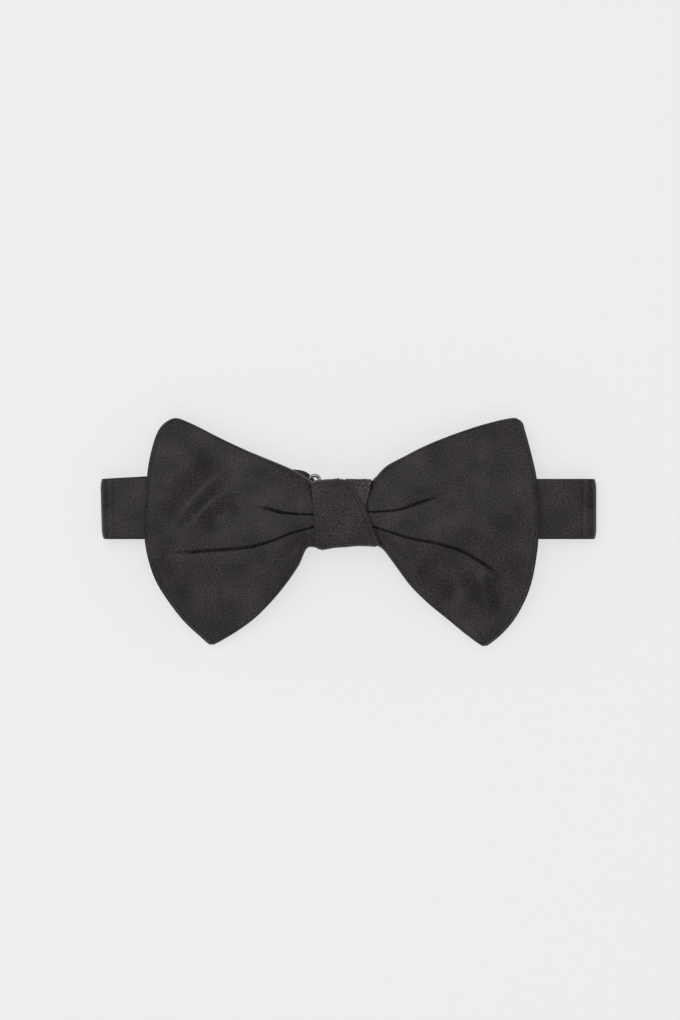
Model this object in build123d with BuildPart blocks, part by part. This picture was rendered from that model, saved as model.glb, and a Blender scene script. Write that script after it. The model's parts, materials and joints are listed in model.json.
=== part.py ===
from build123d import *
from math import cos, radians, sin
import os

# Pre-tied bow tie lying on its back: +Z comes out of the front of the bow, +X runs along the
# neckband to the wearer's left and +Y points at the bow's upper edge. The origin is the bottom
# centre of the whole tie. All sizes are in millimetres.

# ---- neckband ----
strap_w = 20.0            # width of the band
strap_t = 0.8             # thickness of one ply of the band
fold_gap = 5.2            # open height between the front run and the rear run
left_reach = 80.3         # centre of the knot to the left fold's outer face
right_reach = 84.5        # centre of the knot to the right fold's outer face
rear_tilt = 3.2           # degrees that the left rear run climbs towards the bow's upper edge
lining_t = 0.3            # thickness of the band's interlining
lining_inset = 0.7        # edge of the band to the edge of its interlining
ply_gap = 0.06            # air between two plies that lie on each other
seam_gap = 0.05           # gap where two stretches of one band meet end to end
end_taper = 3.0           # radius of the rounded shoulders at the left end of the band
tail_len = 12.0           # length of the sewn-down tail at the left end

# ---- wings ----
left_wing_reach = 65.3    # centre of the knot to the left wing's outermost point
right_wing_reach = 65.0   # the same for the right wing
wing_rise = 30.2          # centre line of the band to the wings' upper corners
wing_drop = 45.7          # centre line of the band to the wings' lower tips
ridge_z = 11.6            # height of the wings' ridge
droop_r = 118.0           # radius of the wings' droop across the ridge
droop_shift = -2.3        # ridge line, from the band's centre line
face_t = 0.8              # front ply of a wing
wing_lining_t = 0.8       # interlining of a wing
back_t = 0.6              # back ply of a wing
wing_ply_gap = 0.1        # air between the plies of a wing
roll = 0.8                # how far the back ply shows beyond the front ply
wing_lining_inset = 1.6   # edge of a wing to the edge of its interlining
wing_gap = 0.1            # gap between a wing and the gathered waist

# ---- knot ----
knot_top = 10.1           # centre line of the band to the knot's upper face
knot_bottom = -13.3       # centre line of the band to the knot's lower face
knot_wrap_t = 1.2         # thickness of the knot's wrap
knot_height = 9.8         # height of the knot, back face to front face
knot_round = 3.5          # outer rounding of the knot, seen from the side
knot_clear = 0.1          # air between the knot's wrap and what it holds
pad_t = 0.7               # interlining inside the wrap
pad_reach = 8.0           # centre of the knot to each end of that interlining
stitch_t = 0.3            # room for the stitches behind the knot
stitch_len = 2.6          # length of one of those stitches
stitch_w = 0.6            # width of one of them
stitch_pitch = (3.2, 7.0) # spacing of them along and across the band
stitch_turn = 20          # degrees that they slant
waist_left = 11.5         # centre of the knot to the left end of the gathered waist
waist_right = 13.1        # the same to the right
neck_w = 15.0             # width of the band where the knot squeezes it
neck_len = 17.0           # length of that narrow stretch
neck_taper = 7.0          # length of each shoulder beside it
binding_w = 3.0           # width of the thread wound round the waist
binding_t = 0.3           # thickness of that thread

# ---- clasp and slider ----
wire_d = 1.2              # wire of the ring and of the hook's frame
wire_clear = 0.15         # play between a wire and the band turned round it
ring_w = 15.8             # outer size of the ring and of the hook's frame across the band
ring_len = 4.4            # outer size of the ring along the band
ring_round = 1.4          # radius of the corners of both, at the middle of the wire
ring_bar_reach = 10.4     # centre of the knot to the ring's bar
hook_len = 5.4            # outer size of the hook's frame along the band
slider_side_clear = 0.3   # play at each side of the band in the slider
hook_tongue_w = 7.0       # width of the hook's tongue
hook_tongue_t = 0.9       # thickness of the tongue
hook_tongue_len = 7.0     # frame bar to the middle of the tongue's turned tip
hook_tip_len = 3.4        # length of the tip that is turned back
hook_tip_drop = 1.6       # tongue to its turned-back tip, middle to middle
hook_tongue_rise = 0.75   # the frame's wire to the tongue, middle to middle
hook_step_len = 1.6       # length over which the tongue rises from the frame
clasp_gap = 0.8           # ring to the hook's tip as the band lies
plate_t = 0.8             # thickness of the slider
bar_w = 1.8               # width of each of the slider's three bars
slot_len = 3.2            # length of each of the slider's two slots
slider_margin = 1.4       # metal beyond the band at each side of the slider
slider_reach = 30.0       # centre of the knot to the slider's middle bar
slider_travel = 34.0      # how far the slider runs along the band
tack_w = 9.0              # length of a bar tack
tack_t = 0.25             # height of a bar tack
tack_len = 1.0            # how far a bar tack reaches along the band
tack_margin = 1.5         # end of the sewn-down ply to its nearer bar tack
bridge_start = 1.2        # centre bar's edge to the start of the ply above it
slider_round = 1.6        # radius of the slider's corners
slot_round = 0.5          # radius of the slots' corners

# ---- derived places ----
half_w = strap_w / 2
strap_y = (wing_drop - wing_rise) / 2
knot_x = (left_reach - right_reach) / 2
fold_r = fold_gap / 2 + strap_t
fold_z = fold_r
front_z = fold_gap + strap_t
fold_lean = rear_tilt / 2
lean_shift = half_w * sin(radians(fold_lean))
left_fold_x = knot_x - left_reach + fold_r + lean_shift
right_fold_x = knot_x + right_reach - fold_r
bar_z = strap_t + wire_clear + wire_d / 2
turn_r = wire_d / 2 + wire_clear + strap_t / 2
upper_ply_z = strap_t * 1.5 + ply_gap
turn_top_z = bar_z + turn_r
knot_back_z = front_z - knot_clear - knot_wrap_t
knot_front_z = knot_back_z + knot_height
neck_y = strap_y + (knot_top + knot_bottom) / 2
slider_z = 2 * strap_t + 2 * ply_gap
slider_x = knot_x + slider_reach
ring_end_x = knot_x - ring_bar_reach + ring_len - wire_d / 2
hook_bar_to_tip = hook_len - wire_d + hook_tongue_len + hook_tongue_t / 2
hook_bar_x = ring_end_x + clasp_gap + hook_bar_to_tip

left_bar_run = (knot_x - ring_bar_reach - left_fold_x) / cos(radians(rear_tilt))
loop_w = ring_w - wire_d - 2 * ring_round
rise = strap_t * 1.875
turn_corner = strap_t * 0.65
pocket_t = lining_t + 2 * ply_gap / 3
lining_z = (strap_t - lining_t) / 2
pocket_z = (strap_t - pocket_t) / 2
slot_w = strap_w + 2 * slider_side_clear


def side_plane(x, y, turn=0.0):
    """Upright plane along the band: local x runs along the band and local y is up."""
    a = radians(turn)
    return Plane(origin=(x, y, 0), x_dir=(cos(a), sin(a), 0), z_dir=(sin(a), -cos(a), 0))


def plan_plane(x, y, z, turn=0.0):
    """Flat plane at height z, its x axis turned about +Z."""
    a = radians(turn)
    return Plane(origin=(x, y, z), x_dir=(cos(a), sin(a), 0), z_dir=(0, 0, 1))


def ribbon(plane, points, radius, thickness, width):
    """A strip of cloth or plate that follows a rounded path and is extruded across the band."""
    with BuildPart() as strip:
        with BuildSketch(plane):
            with BuildLine():
                path = FilletPolyline(*points, radius=radius)
            trace(path, line_width=thickness)
        extrude(amount=width / 2, both=True)
    return strip.part


def wire_loop(plane, length, width, corner):
    """A closed rounded rectangle of round wire, its first bar centred on the plane's origin."""
    across = (width - wire_d) / 2
    along = length - wire_d
    with BuildPart() as loop:
        with BuildLine(plane) as path:
            FilletPolyline(
                (0, -across), (0, across), (along, across), (along, -across),
                radius=corner, close=True,
            )
        start = path.edges().sort_by(SortBy.LENGTH)[-1]
        with BuildSketch(Plane(origin=start @ 0.5, z_dir=start % 0.5)):
            Circle(wire_d / 2)
        sweep(path=path.wires()[0])
    return loop.part


def save(piece, name):
    """Label a finished piece and write it."""
    piece.label = name
    export_step(piece, "parts/" + name + ".step")


os.makedirs("parts", exist_ok=True)

# ---- front run of the neckband, with its interlining in a closed pocket ----


def band_corners(inset):
    """Corners of the front run, drawn in by inset and squeezed narrow where the knot holds it."""
    half = half_w - inset
    low, high = neck_y - strap_y - neck_w / 2 + inset, neck_y - strap_y + neck_w / 2 - inset
    near, far = neck_len / 2, neck_len / 2 + neck_taper
    left, right = left_fold_x + seam_gap + inset, right_fold_x - seam_gap - inset
    lean = lean_shift * half / half_w
    return [
        (left - lean, half), (knot_x - far, half), (knot_x - near, high),
        (knot_x + near, high), (knot_x + far, half), (right, half), (right, -half),
        (knot_x + far, -half), (knot_x + near, low), (knot_x - near, low),
        (knot_x - far, -half), (left + lean, -half),
    ]


with BuildPart() as strap_front:
    with BuildSketch(plan_plane(0, strap_y, front_z)):
        with BuildLine():
            Polyline(*band_corners(0), close=True)
        make_face()
    extrude(amount=strap_t)
    with BuildSketch(plan_plane(0, strap_y, front_z + pocket_z)):
        with BuildLine():
            Polyline(*band_corners(lining_inset - ply_gap), close=True)
        make_face()
    extrude(amount=pocket_t, mode=Mode.SUBTRACT)
save(strap_front.part, "strap_front")

with BuildPart() as strap_front_interlining:
    with BuildSketch(plan_plane(0, strap_y, front_z + lining_z)):
        with BuildLine():
            Polyline(*band_corners(lining_inset), close=True)
        make_face()
    extrude(amount=lining_t)
save(strap_front_interlining.part, "strap_front_interlining")

# ---- folds at the two sides of the neckband ----


def fold(x, turn, side):
    """Half a turn of band about the fold's centre line, bulging to the given side."""
    with BuildPart() as half_turn:
        with BuildSketch(side_plane(x, strap_y, turn)):
            with Locations((0, fold_z)):
                Circle(fold_r)
                Circle(fold_r - strap_t, mode=Mode.SUBTRACT)
            with Locations((-side * fold_r, fold_z)):
                Rectangle(2 * fold_r, 2 * fold_r, mode=Mode.SUBTRACT)
        extrude(amount=half_w, both=True)
    return half_turn.part


save(fold(left_fold_x, fold_lean, -1), "left_strap_fold")
save(fold(right_fold_x, 0, 1), "right_strap_fold")

# ---- left rear run: it ends in shoulders and is turned round the ring's bar ----

shoulder_end = left_bar_run + wire_clear
shoulder_start = shoulder_end - end_taper


def left_corners(inset, end):
    """Corners of the left rear run in its own frame, drawn in by inset and cut at end."""
    half = half_w - inset
    lean = lean_shift * half / half_w
    start = seam_gap + inset
    return [(start - lean, -half), (end, -half), (end, half), (start + lean, half)]


with BuildPart() as left_strap_rear:
    with BuildSketch(plan_plane(left_fold_x, strap_y, 0, rear_tilt)) as left_run:
        with BuildLine():
            Polyline(*left_corners(0, shoulder_end), close=True)
        make_face()
        fillet(left_run.vertices().group_by(Axis.X)[-1], radius=end_taper)
    extrude(amount=strap_t)
    add(
        ribbon(
            side_plane(left_fold_x, strap_y, rear_tilt),
            [
                (shoulder_start, strap_t / 2),
                (left_bar_run + turn_r, strap_t / 2),
                (left_bar_run + turn_r, turn_top_z),
                (left_bar_run - turn_r, turn_top_z),
                (left_bar_run - 3 * turn_r, upper_ply_z),
                (left_bar_run - 3 * turn_r - tail_len, upper_ply_z),
            ],
            [turn_r * 0.99, turn_r * 0.99, turn_r / 2, turn_r / 2],
            strap_t,
            loop_w,
        )
    )
    with BuildSketch(plan_plane(left_fold_x, strap_y, pocket_z, rear_tilt)):
        with BuildLine():
            Polyline(*left_corners(lining_inset - ply_gap, shoulder_start), close=True)
        make_face()
    extrude(amount=pocket_t, mode=Mode.SUBTRACT)
save(left_strap_rear.part, "left_strap_rear")

with BuildPart() as left_rear_interlining:
    with BuildSketch(plan_plane(left_fold_x, strap_y, lining_z, rear_tilt)):
        with BuildLine():
            Polyline(*left_corners(lining_inset, shoulder_start - ply_gap), close=True)
        make_face()
    extrude(amount=lining_t)
save(left_rear_interlining.part, "left_rear_interlining")

tack_z = upper_ply_z + strap_t / 2
with BuildPart() as left_bar_tack:
    with BuildSketch(plan_plane(left_fold_x, strap_y, tack_z, rear_tilt)):
        with Locations(
            (left_bar_run - 3 * turn_r - tack_margin, 0), (left_bar_run - tail_len - tack_margin, 0)
        ):
            SlotOverall(tack_w, tack_len, rotation=90)
    extrude(amount=tack_t)
save(left_bar_tack.part, "left_bar_tack")

ring_plane = Plane(
    origin=side_plane(left_fold_x, strap_y, rear_tilt).from_local_coords((left_bar_run, bar_z, 0)),
    x_dir=(cos(radians(rear_tilt)), sin(radians(rear_tilt)), 0),
    z_dir=(0, 0, 1),
)
save(wire_loop(ring_plane, ring_len, ring_w, ring_round), "ring")

# ---- right rear run: fixed stretch, woven running stretch, return stretch, hook end ----

weave_reach = bar_w * 1.5 + slot_len
over_z = slider_z + plate_t + ply_gap + strap_t / 2
bridge_z = over_z + strap_t + ply_gap
running_end_x = slider_x + slider_travel + weave_reach + rise + 0.6
hook_end_low_x = hook_bar_x + 4 * turn_r
hook_end_high_x = hook_bar_x + 5 * turn_r
slot_mid = bar_w / 2 + slot_len / 2 + 0.1

with BuildPart() as right_strap_rear:
    with Locations(((running_end_x + right_fold_x) / 2, strap_y, strap_t / 2)):
        Box(right_fold_x - running_end_x - 2 * seam_gap, strap_w, strap_t)
save(right_strap_rear.part, "right_strap_rear")

right_side = side_plane(0, strap_y)
flat_z = strap_t / 2
save(
    ribbon(
        right_side,
        [
            (running_end_x, flat_z),
            (slider_x + weave_reach + rise, flat_z),
            (slider_x + weave_reach + rise * 0.27, over_z),
            (slider_x + slot_mid, over_z),
            (slider_x + slot_mid, flat_z),
            (slider_x - slot_mid, flat_z),
            (slider_x - slot_mid, over_z),
            (slider_x - weave_reach - rise * 0.27, over_z),
            (slider_x - weave_reach - rise, flat_z),
            (hook_end_low_x + seam_gap, flat_z),
        ],
        turn_corner,
        strap_t,
        strap_w,
    ),
    "right_running_ply",
)

save(
    ribbon(
        right_side,
        [
            (slider_x - bar_w / 2 - bridge_start, bridge_z),
            (slider_x - weave_reach - rise * 0.5, bridge_z),
            (slider_x - weave_reach - rise * 1.85, upper_ply_z),
            (hook_end_high_x + seam_gap, upper_ply_z),
        ],
        turn_corner,
        strap_t,
        strap_w,
    ),
    "right_return_ply",
)

loop_half = bar_w / 2 + ply_gap + strap_t
loop_low = slider_z - ply_gap - strap_t
loop_high = slider_z + plate_t + ply_gap + strap_t
with BuildPart() as slider_end_loop:
    with BuildSketch(right_side):
        with Locations((slider_x, (loop_low + loop_high) / 2)):
            RectangleRounded(2 * loop_half, loop_high - loop_low, strap_t * 0.9)
            Rectangle(bar_w + 2 * ply_gap, plate_t + 2 * ply_gap, mode=Mode.SUBTRACT)
        with BuildLine():
            Polyline(
                (slider_x - strap_t / 4, loop_high - strap_t * 0.6), (slider_x - strap_t / 4, loop_high),
                (slider_x - bar_w / 2 - bridge_start + seam_gap, bridge_z + strap_t / 2),
                (slider_x - bar_w / 2 - bridge_start + seam_gap, bridge_z - strap_t / 2), close=True,
            )
        make_face()
    extrude(amount=half_w, both=True)
save(slider_end_loop.part, "slider_end_loop")

with BuildPart() as slider_bar_tack:
    with BuildSketch(plan_plane(slider_x - weave_reach - rise * 2.6, strap_y, upper_ply_z + strap_t / 2)):
        SlotOverall(tack_w, tack_len, rotation=90)
    extrude(amount=tack_t)
save(slider_bar_tack.part, "slider_bar_tack")

slider_w = slot_w + 2 * slider_margin
with BuildPart() as slider_frame:
    with BuildSketch(plan_plane(slider_x, strap_y, slider_z)):
        RectangleRounded(2 * weave_reach, slider_w, slider_round)
        with Locations((-(bar_w + slot_len) / 2, 0), ((bar_w + slot_len) / 2, 0)):
            RectangleRounded(slot_len, slot_w, slot_round, mode=Mode.SUBTRACT)
    extrude(amount=plate_t)
    outer = slider_frame.edges().filter_by(GeomType.LINE).filter_by(Axis.Y)
    chamfer(outer.group_by(Axis.X)[0] + outer.group_by(Axis.X)[-1], length=plate_t / 5)
save(slider_frame.part, "slider_frame")

save(
    ribbon(
        right_side,
        [
            (hook_end_low_x, flat_z),
            (hook_bar_x - turn_r, flat_z),
            (hook_bar_x - turn_r, turn_top_z),
            (hook_bar_x + turn_r, turn_top_z),
            (hook_bar_x + 3 * turn_r, upper_ply_z),
            (hook_end_high_x, upper_ply_z),
        ],
        [turn_r * 0.99, turn_r * 0.99, turn_r / 2, turn_r / 2],
        strap_t,
        loop_w,
    ),
    "hook_end_loop",
)

hook_plane = Plane(origin=(hook_bar_x, strap_y, bar_z), x_dir=(-1, 0, 0), z_dir=(0, 0, 1))
tongue_root = hook_bar_x - hook_len + wire_d
tongue_top_z = bar_z + hook_tongue_rise
tongue_low_z = tongue_top_z - hook_tip_drop
tip_turn = hook_tip_drop / 2 - 0.01
with BuildPart() as hook:
    add(wire_loop(hook_plane, hook_len, ring_w, ring_round))
    add(
        ribbon(
            right_side,
            [
                (tongue_root + wire_d / 6, bar_z),
                (tongue_root - hook_step_len, tongue_top_z),
                (tongue_root - hook_tongue_len, tongue_top_z),
                (tongue_root - hook_tongue_len, tongue_low_z),
                (tongue_root - hook_tongue_len + hook_tip_len, tongue_low_z),
            ],
            [wire_d / 2, tip_turn, tip_turn],
            hook_tongue_t,
            hook_tongue_w,
        )
    )
save(hook.part, "hook")

# ---- wings: front ply, interlining and back ply, drooping about one long axis ----

# Outline of a wing from the waist along its upper edge, its outer edge and its lower edge. Each
# point is a share of the wing's reach, and a share of its rise (above) or its drop (below).
left_upper = [(0.174, 0.35), (0.256, 0.44), (0.48, 0.64), (0.79, 0.96)]
left_corner = [(0.79, 0.96), (0.875, 0.995), (0.939, 0.82)]
left_outer = [(0.939, 0.82), (0.992, 0.10), (0.98, -0.37), (0.80, -0.82), (0.68, -0.975)]
left_lower = [(0.645, -0.975), (0.444, -0.807), (0.27, -0.52), (0.174, -0.27)]
right_upper = [(0.201, 0.44), (0.318, 0.58), (0.526, 0.785), (0.845, 0.992)]
right_corner = [(0.845, 0.992), (0.91, 0.98), (0.929, 0.868)]
right_outer = [(0.929, 0.868), (0.992, 0.30), (0.998, -0.217), (0.958, -0.567), (0.745, -0.985)]
right_lower = [(0.715, -0.985), (0.546, -0.81), (0.346, -0.554), (0.201, -0.27)]


def placed(shares, side, reach, inset):
    """Points of a wing's outline in millimetres from the knot's centre, drawn in by inset."""
    points = []
    for x, y in shares:
        height = wing_rise if y > 0 else wing_drop
        points.append((side * x * (reach - inset), y * (height - inset)))
    return points


def wing_ply(side, outline, depth, thickness, inset):
    """One ply of a wing: a drooping shell of the given depth below the ridge, cut to outline."""
    reach, root = outline[0], outline[1]
    upper, corner, outer, lower = [placed(shares, side, reach, inset) for shares in outline[2:]]
    shell_r = droop_r - depth
    with BuildPart() as ply:
        with BuildSketch(Plane.YZ.offset(knot_x + side * root)):
            with Locations((strap_y + droop_shift, ridge_z - droop_r)):
                Circle(shell_r)
                Circle(shell_r - thickness, mode=Mode.SUBTRACT)
        extrude(amount=side * reach)
        with BuildSketch(plan_plane(knot_x, strap_y, 0)):
            with BuildLine():
                Polyline(lower[-1], (side * root, lower[-1][1]), (side * root, upper[0][1]), upper[0])
                Spline(*upper)
                ThreePointArc(*corner)
                Spline(*outer)
                Line(outer[-1], lower[0])
                Spline(*lower)
            make_face()
        extrude(amount=2 * ridge_z, mode=Mode.INTERSECT)
    return ply.part


left_shape = (left_wing_reach, waist_left + wing_gap, left_upper, left_corner, left_outer, left_lower)
right_shape = (
    right_wing_reach, waist_right + wing_gap, right_upper, right_corner, right_outer, right_lower,
)
lining_depth = face_t + wing_ply_gap
back_depth = lining_depth + wing_lining_t + wing_ply_gap
for name, side, shape in (("left", -1, left_shape), ("right", 1, right_shape)):
    save(wing_ply(side, shape, 0, face_t, roll), name + "_wing_front")
    save(wing_ply(side, shape, lining_depth, wing_lining_t, wing_lining_inset), name + "_wing_interlining")
    save(wing_ply(side, shape, back_depth, back_t, 0), name + "_wing_back")

# ---- knot: a strip wound round the waist and the band, padded, bound and tacked ----

inner_top = knot_top - knot_wrap_t
inner_bottom = knot_bottom + knot_wrap_t
pad_top = inner_top - knot_clear
pad_bottom = inner_bottom + knot_clear
waist_top = pad_top - pad_t - knot_clear
waist_bottom = pad_bottom + pad_t + knot_clear
waist_z = front_z + strap_t + knot_clear
pad_z = knot_front_z - knot_wrap_t - knot_clear
waist_top_z = pad_z - pad_t - knot_clear
waist_round = (waist_top_z - waist_z) * 0.36
pad_round = (pad_z - waist_z) * 0.35
knot_ends = [(-10.4, 9.3), (-7.0, 9.6), (0.3, knot_top)]
knot_diagonal = [(0.3, knot_top), (3.8, 6.9), (7.4, 0.8), (10.2, -6.1), (12.6, -12.4)]
knot_left_side = [(3.1, -12.3), (-7.4, knot_bottom), (-11.2, -12.6), (-9.0, -7.0), (-9.3, -1.0)]


def side_box(low_x, high_x, low_y, high_y, low_z, high_z, corner):
    """A block through the knot along X, its long edges rounded, from its two corners."""
    with BuildPart() as block:
        with BuildSketch(Plane.YZ.offset(knot_x + low_x)):
            with Locations((strap_y + (low_y + high_y) / 2, (low_z + high_z) / 2)):
                RectangleRounded(high_y - low_y, high_z - low_z, corner)
        extrude(amount=high_x - low_x)
    return block.part


def wrap_shell(outline):
    """The wound strip's wall where it lies over the given plan outline."""
    reach = waist_left + waist_right
    with BuildPart() as wall:
        add(side_box(-reach, reach, knot_bottom, knot_top, knot_back_z, knot_front_z, knot_round))
        add(
            side_box(
                -reach, reach, inner_bottom, inner_top,
                knot_back_z + knot_wrap_t, knot_front_z - knot_wrap_t, knot_round - knot_wrap_t,
            ),
            mode=Mode.SUBTRACT,
        )
        with BuildSketch(plan_plane(knot_x, strap_y, 0)):
            with BuildLine():
                Polyline(*outline, close=True)
            make_face()
        extrude(amount=2 * knot_front_z, mode=Mode.INTERSECT)
    return wall.part


save(wrap_shell(knot_ends + knot_diagonal[1:] + knot_left_side), "knot_wrap")
under_edge = [(x + 2 * seam_gap, y) for x, y in knot_diagonal[:3]]
save(wrap_shell(under_edge + [(8.4, 4.0), (10.4, knot_top)]), "knot_under_wrap")

with BuildPart() as gathered_waist:
    add(side_box(-waist_left, waist_right, waist_bottom, waist_top, waist_z, waist_top_z, waist_round))
    with BuildSketch(Plane.YZ.offset(knot_x - binding_w / 2)):
        with Locations((strap_y + (waist_bottom + waist_top) / 2, (waist_z + waist_top_z) / 2)):
            Rectangle(2 * waist_top - 2 * waist_bottom, 2 * waist_top_z)
            RectangleRounded(
                waist_top - waist_bottom - 2 * binding_t - 2 * ply_gap,
                waist_top_z - waist_z - 2 * binding_t - 2 * ply_gap,
                waist_round * 0.8, mode=Mode.SUBTRACT,
            )
    extrude(amount=binding_w, mode=Mode.SUBTRACT)
save(gathered_waist.part, "gathered_waist")

with BuildPart() as waist_binding:
    with BuildSketch(Plane.YZ.offset(knot_x - binding_w / 2 + ply_gap)):
        with Locations((strap_y + (waist_bottom + waist_top) / 2, (waist_z + waist_top_z) / 2)):
            RectangleRounded(waist_top - waist_bottom, waist_top_z - waist_z, waist_round * 0.95)
            RectangleRounded(
                waist_top - waist_bottom - 2 * binding_t,
                waist_top_z - waist_z - 2 * binding_t, waist_round * 0.8, mode=Mode.SUBTRACT,
            )
    extrude(amount=binding_w - 2 * ply_gap)
save(waist_binding.part, "waist_binding")

with BuildPart() as knot_interlining:
    add(side_box(-pad_reach, pad_reach, pad_bottom, pad_top, waist_z, pad_z, pad_round))
    add(
        side_box(
            -pad_reach, pad_reach, pad_bottom + pad_t, pad_top - pad_t,
            waist_z - pad_t, pad_z - pad_t, pad_round * 0.86,
        ),
        mode=Mode.SUBTRACT,
    )
save(knot_interlining.part, "knot_interlining")

with BuildPart() as knot_tacking:
    with BuildSketch(plan_plane(knot_x, neck_y, knot_back_z - stitch_t)):
        with GridLocations(*stitch_pitch, 3, 2):
            SlotOverall(stitch_len, stitch_w, rotation=stitch_turn)
    extrude(amount=stitch_t - ply_gap)
save(knot_tacking.part, "knot_tacking")
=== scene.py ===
"""Black satin bow tie, pre-tied, lying on its back: cloth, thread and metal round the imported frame."""

from __future__ import annotations

import json
import logging
from dataclasses import dataclass, field
from enum import Enum
from math import atan2, cos, pi, radians, sin
from typing import Any, Callable, Iterable, Sequence

import bpy
import numpy as np
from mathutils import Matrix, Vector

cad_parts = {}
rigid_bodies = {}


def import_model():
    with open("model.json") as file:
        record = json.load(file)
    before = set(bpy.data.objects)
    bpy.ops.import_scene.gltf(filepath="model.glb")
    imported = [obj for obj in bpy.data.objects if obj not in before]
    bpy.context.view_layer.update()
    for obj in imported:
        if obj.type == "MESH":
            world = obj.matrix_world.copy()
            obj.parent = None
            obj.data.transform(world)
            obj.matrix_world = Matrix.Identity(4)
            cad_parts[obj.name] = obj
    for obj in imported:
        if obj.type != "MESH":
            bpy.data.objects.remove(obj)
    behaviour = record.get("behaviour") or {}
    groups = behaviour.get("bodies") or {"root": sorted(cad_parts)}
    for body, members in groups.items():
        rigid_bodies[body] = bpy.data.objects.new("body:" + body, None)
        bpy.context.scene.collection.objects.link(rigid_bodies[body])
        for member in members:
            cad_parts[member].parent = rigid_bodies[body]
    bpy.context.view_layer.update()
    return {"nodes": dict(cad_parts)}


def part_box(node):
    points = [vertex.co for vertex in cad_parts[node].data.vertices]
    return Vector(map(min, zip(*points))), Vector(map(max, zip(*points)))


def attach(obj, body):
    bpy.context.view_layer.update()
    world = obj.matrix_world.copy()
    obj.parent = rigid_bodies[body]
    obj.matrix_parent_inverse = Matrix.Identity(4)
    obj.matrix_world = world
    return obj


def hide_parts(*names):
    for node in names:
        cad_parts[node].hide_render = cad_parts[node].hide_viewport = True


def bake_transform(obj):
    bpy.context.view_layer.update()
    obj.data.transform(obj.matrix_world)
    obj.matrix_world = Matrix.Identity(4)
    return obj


LOG = logging.getLogger("bow_tie")
MM = 0.001
REAR_TILT = 3.2  # degrees that the left rear run climbs
LEFT_LEAN = REAR_TILT / 2  # degrees that the left fold leans
STRAP_T = 0.8  # the band's thickness, mm
SOFT_ANGLE = radians(50)  # faces that meet more flatly than this are shaded smooth
BAND_COLS = 18  # points across the flat side of a band
WAVE = 6.28  # a wave texture repeats this many times for each unit of its scale
Point = tuple[float, float]
Array = np.ndarray


# ---------------------------------------------------------------- small tools


def linear(hex_colour: str) -> tuple[float, float, float, float]:
    """Turn an sRGB hex colour into a linear RGBA colour.

    Args:
        hex_colour: six hex digits, such as "2d2a29".

    Returns:
        Linear red, green and blue, and an alpha of 1.
    """
    values = [int(hex_colour[i : i + 2], 16) / 255 for i in (0, 2, 4)]
    red, green, blue = (v / 12.92 if v <= 0.04045 else ((v + 0.055) / 1.055) ** 2.4 for v in values)
    return (red, green, blue, 1.0)


def smooth(value: Array | float, low: float, high: float) -> Array | float:
    """Smoothstep of value from 0 at low to 1 at high."""
    t = np.clip((np.asarray(value, float) - low) / (high - low), 0, 1)
    return t * t * (3 - 2 * t)


def lengths(line: Array) -> Array:
    """Length along a line from its start to each of its samples."""
    return np.concatenate([[0], np.cumsum(np.linalg.norm(np.diff(line, axis=0), axis=1))])


def resampled(line: Array, run: Array, at: Array) -> Array:
    """Places of a line in plan at the given lengths along it."""
    return np.stack([np.interp(at, run, line[:, k]) for k in (0, 1)], axis=1)


def through(points: Sequence[Point], count: int,
            spacing: Callable[[Array], Array] | None = None, per_span: int = 40) -> Array:
    """Sample a smooth curve that passes through the given points.

    Args:
        points: the curve's own points, in order.
        count: how many samples to return.
        spacing: maps 0..1 to 0..1 to crowd samples where the shape needs them.
        per_span: how many samples each span is first worked out with.

    Returns:
        Array of count by 2 samples, even along the curve unless spacing says otherwise.
    """
    pts = np.asarray(points, float)
    knots = np.concatenate([[0], np.cumsum(np.linalg.norm(np.diff(pts, axis=0), axis=1) ** 0.5)])
    padded = np.vstack([2 * pts[0] - pts[1], pts, 2 * pts[-1] - pts[-2]])
    pknots = np.concatenate([[2 * knots[0] - knots[1]], knots, [2 * knots[-1] - knots[-2]]])
    dense = []
    for i in range(len(pts) - 1):
        t0, t1, t2, t3 = pknots[i : i + 4]
        p0, p1, p2, p3 = padded[i : i + 4]
        t = np.linspace(t1, t2, per_span, endpoint=i == len(pts) - 2)[:, None]
        a1 = (t1 - t) / (t1 - t0) * p0 + (t - t0) / (t1 - t0) * p1
        a2 = (t2 - t) / (t2 - t1) * p1 + (t - t1) / (t2 - t1) * p2
        a3 = (t3 - t) / (t3 - t2) * p2 + (t - t2) / (t3 - t2) * p3
        b1 = (t2 - t) / (t2 - t0) * a1 + (t - t0) / (t2 - t0) * a2
        b2 = (t3 - t) / (t3 - t1) * a2 + (t - t1) / (t3 - t1) * a3
        dense.append((t2 - t) / (t2 - t1) * b1 + (t - t1) / (t2 - t1) * b2)
    line = np.vstack(dense)
    run = lengths(line)
    at = np.linspace(0, 1, count)
    if spacing is not None:
        at = spacing(at)
    return resampled(line, run, at * run[-1])


def crowded(amount: float) -> Callable[[Array], Array]:
    """Spacing that crowds samples at both ends by the given amount, 0 to below 1."""
    return lambda t: t - amount * np.sin(2 * pi * t) / (2 * pi)


def deselect() -> None:
    """Leave edit mode and deselect everything, so that an operator acts on one piece alone."""
    if bpy.context.object is not None and bpy.context.object.mode != "OBJECT":
        bpy.ops.object.mode_set(mode="OBJECT")
    bpy.ops.object.select_all(action="DESELECT")


def select_only(piece: bpy.types.Object) -> None:
    """Select one piece and make it active."""
    deselect()
    bpy.context.view_layer.objects.active = piece
    piece.select_set(True)


def face_outwards() -> None:
    """Turn the faces of the piece in edit mode outwards, leave edit mode and shade it smooth."""
    bpy.ops.mesh.select_all(action="SELECT")
    bpy.ops.mesh.normals_make_consistent(inside=False)
    bpy.ops.object.mode_set(mode="OBJECT")
    bpy.ops.object.shade_smooth_by_angle(angle=SOFT_ANGLE)
    deselect()


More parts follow.
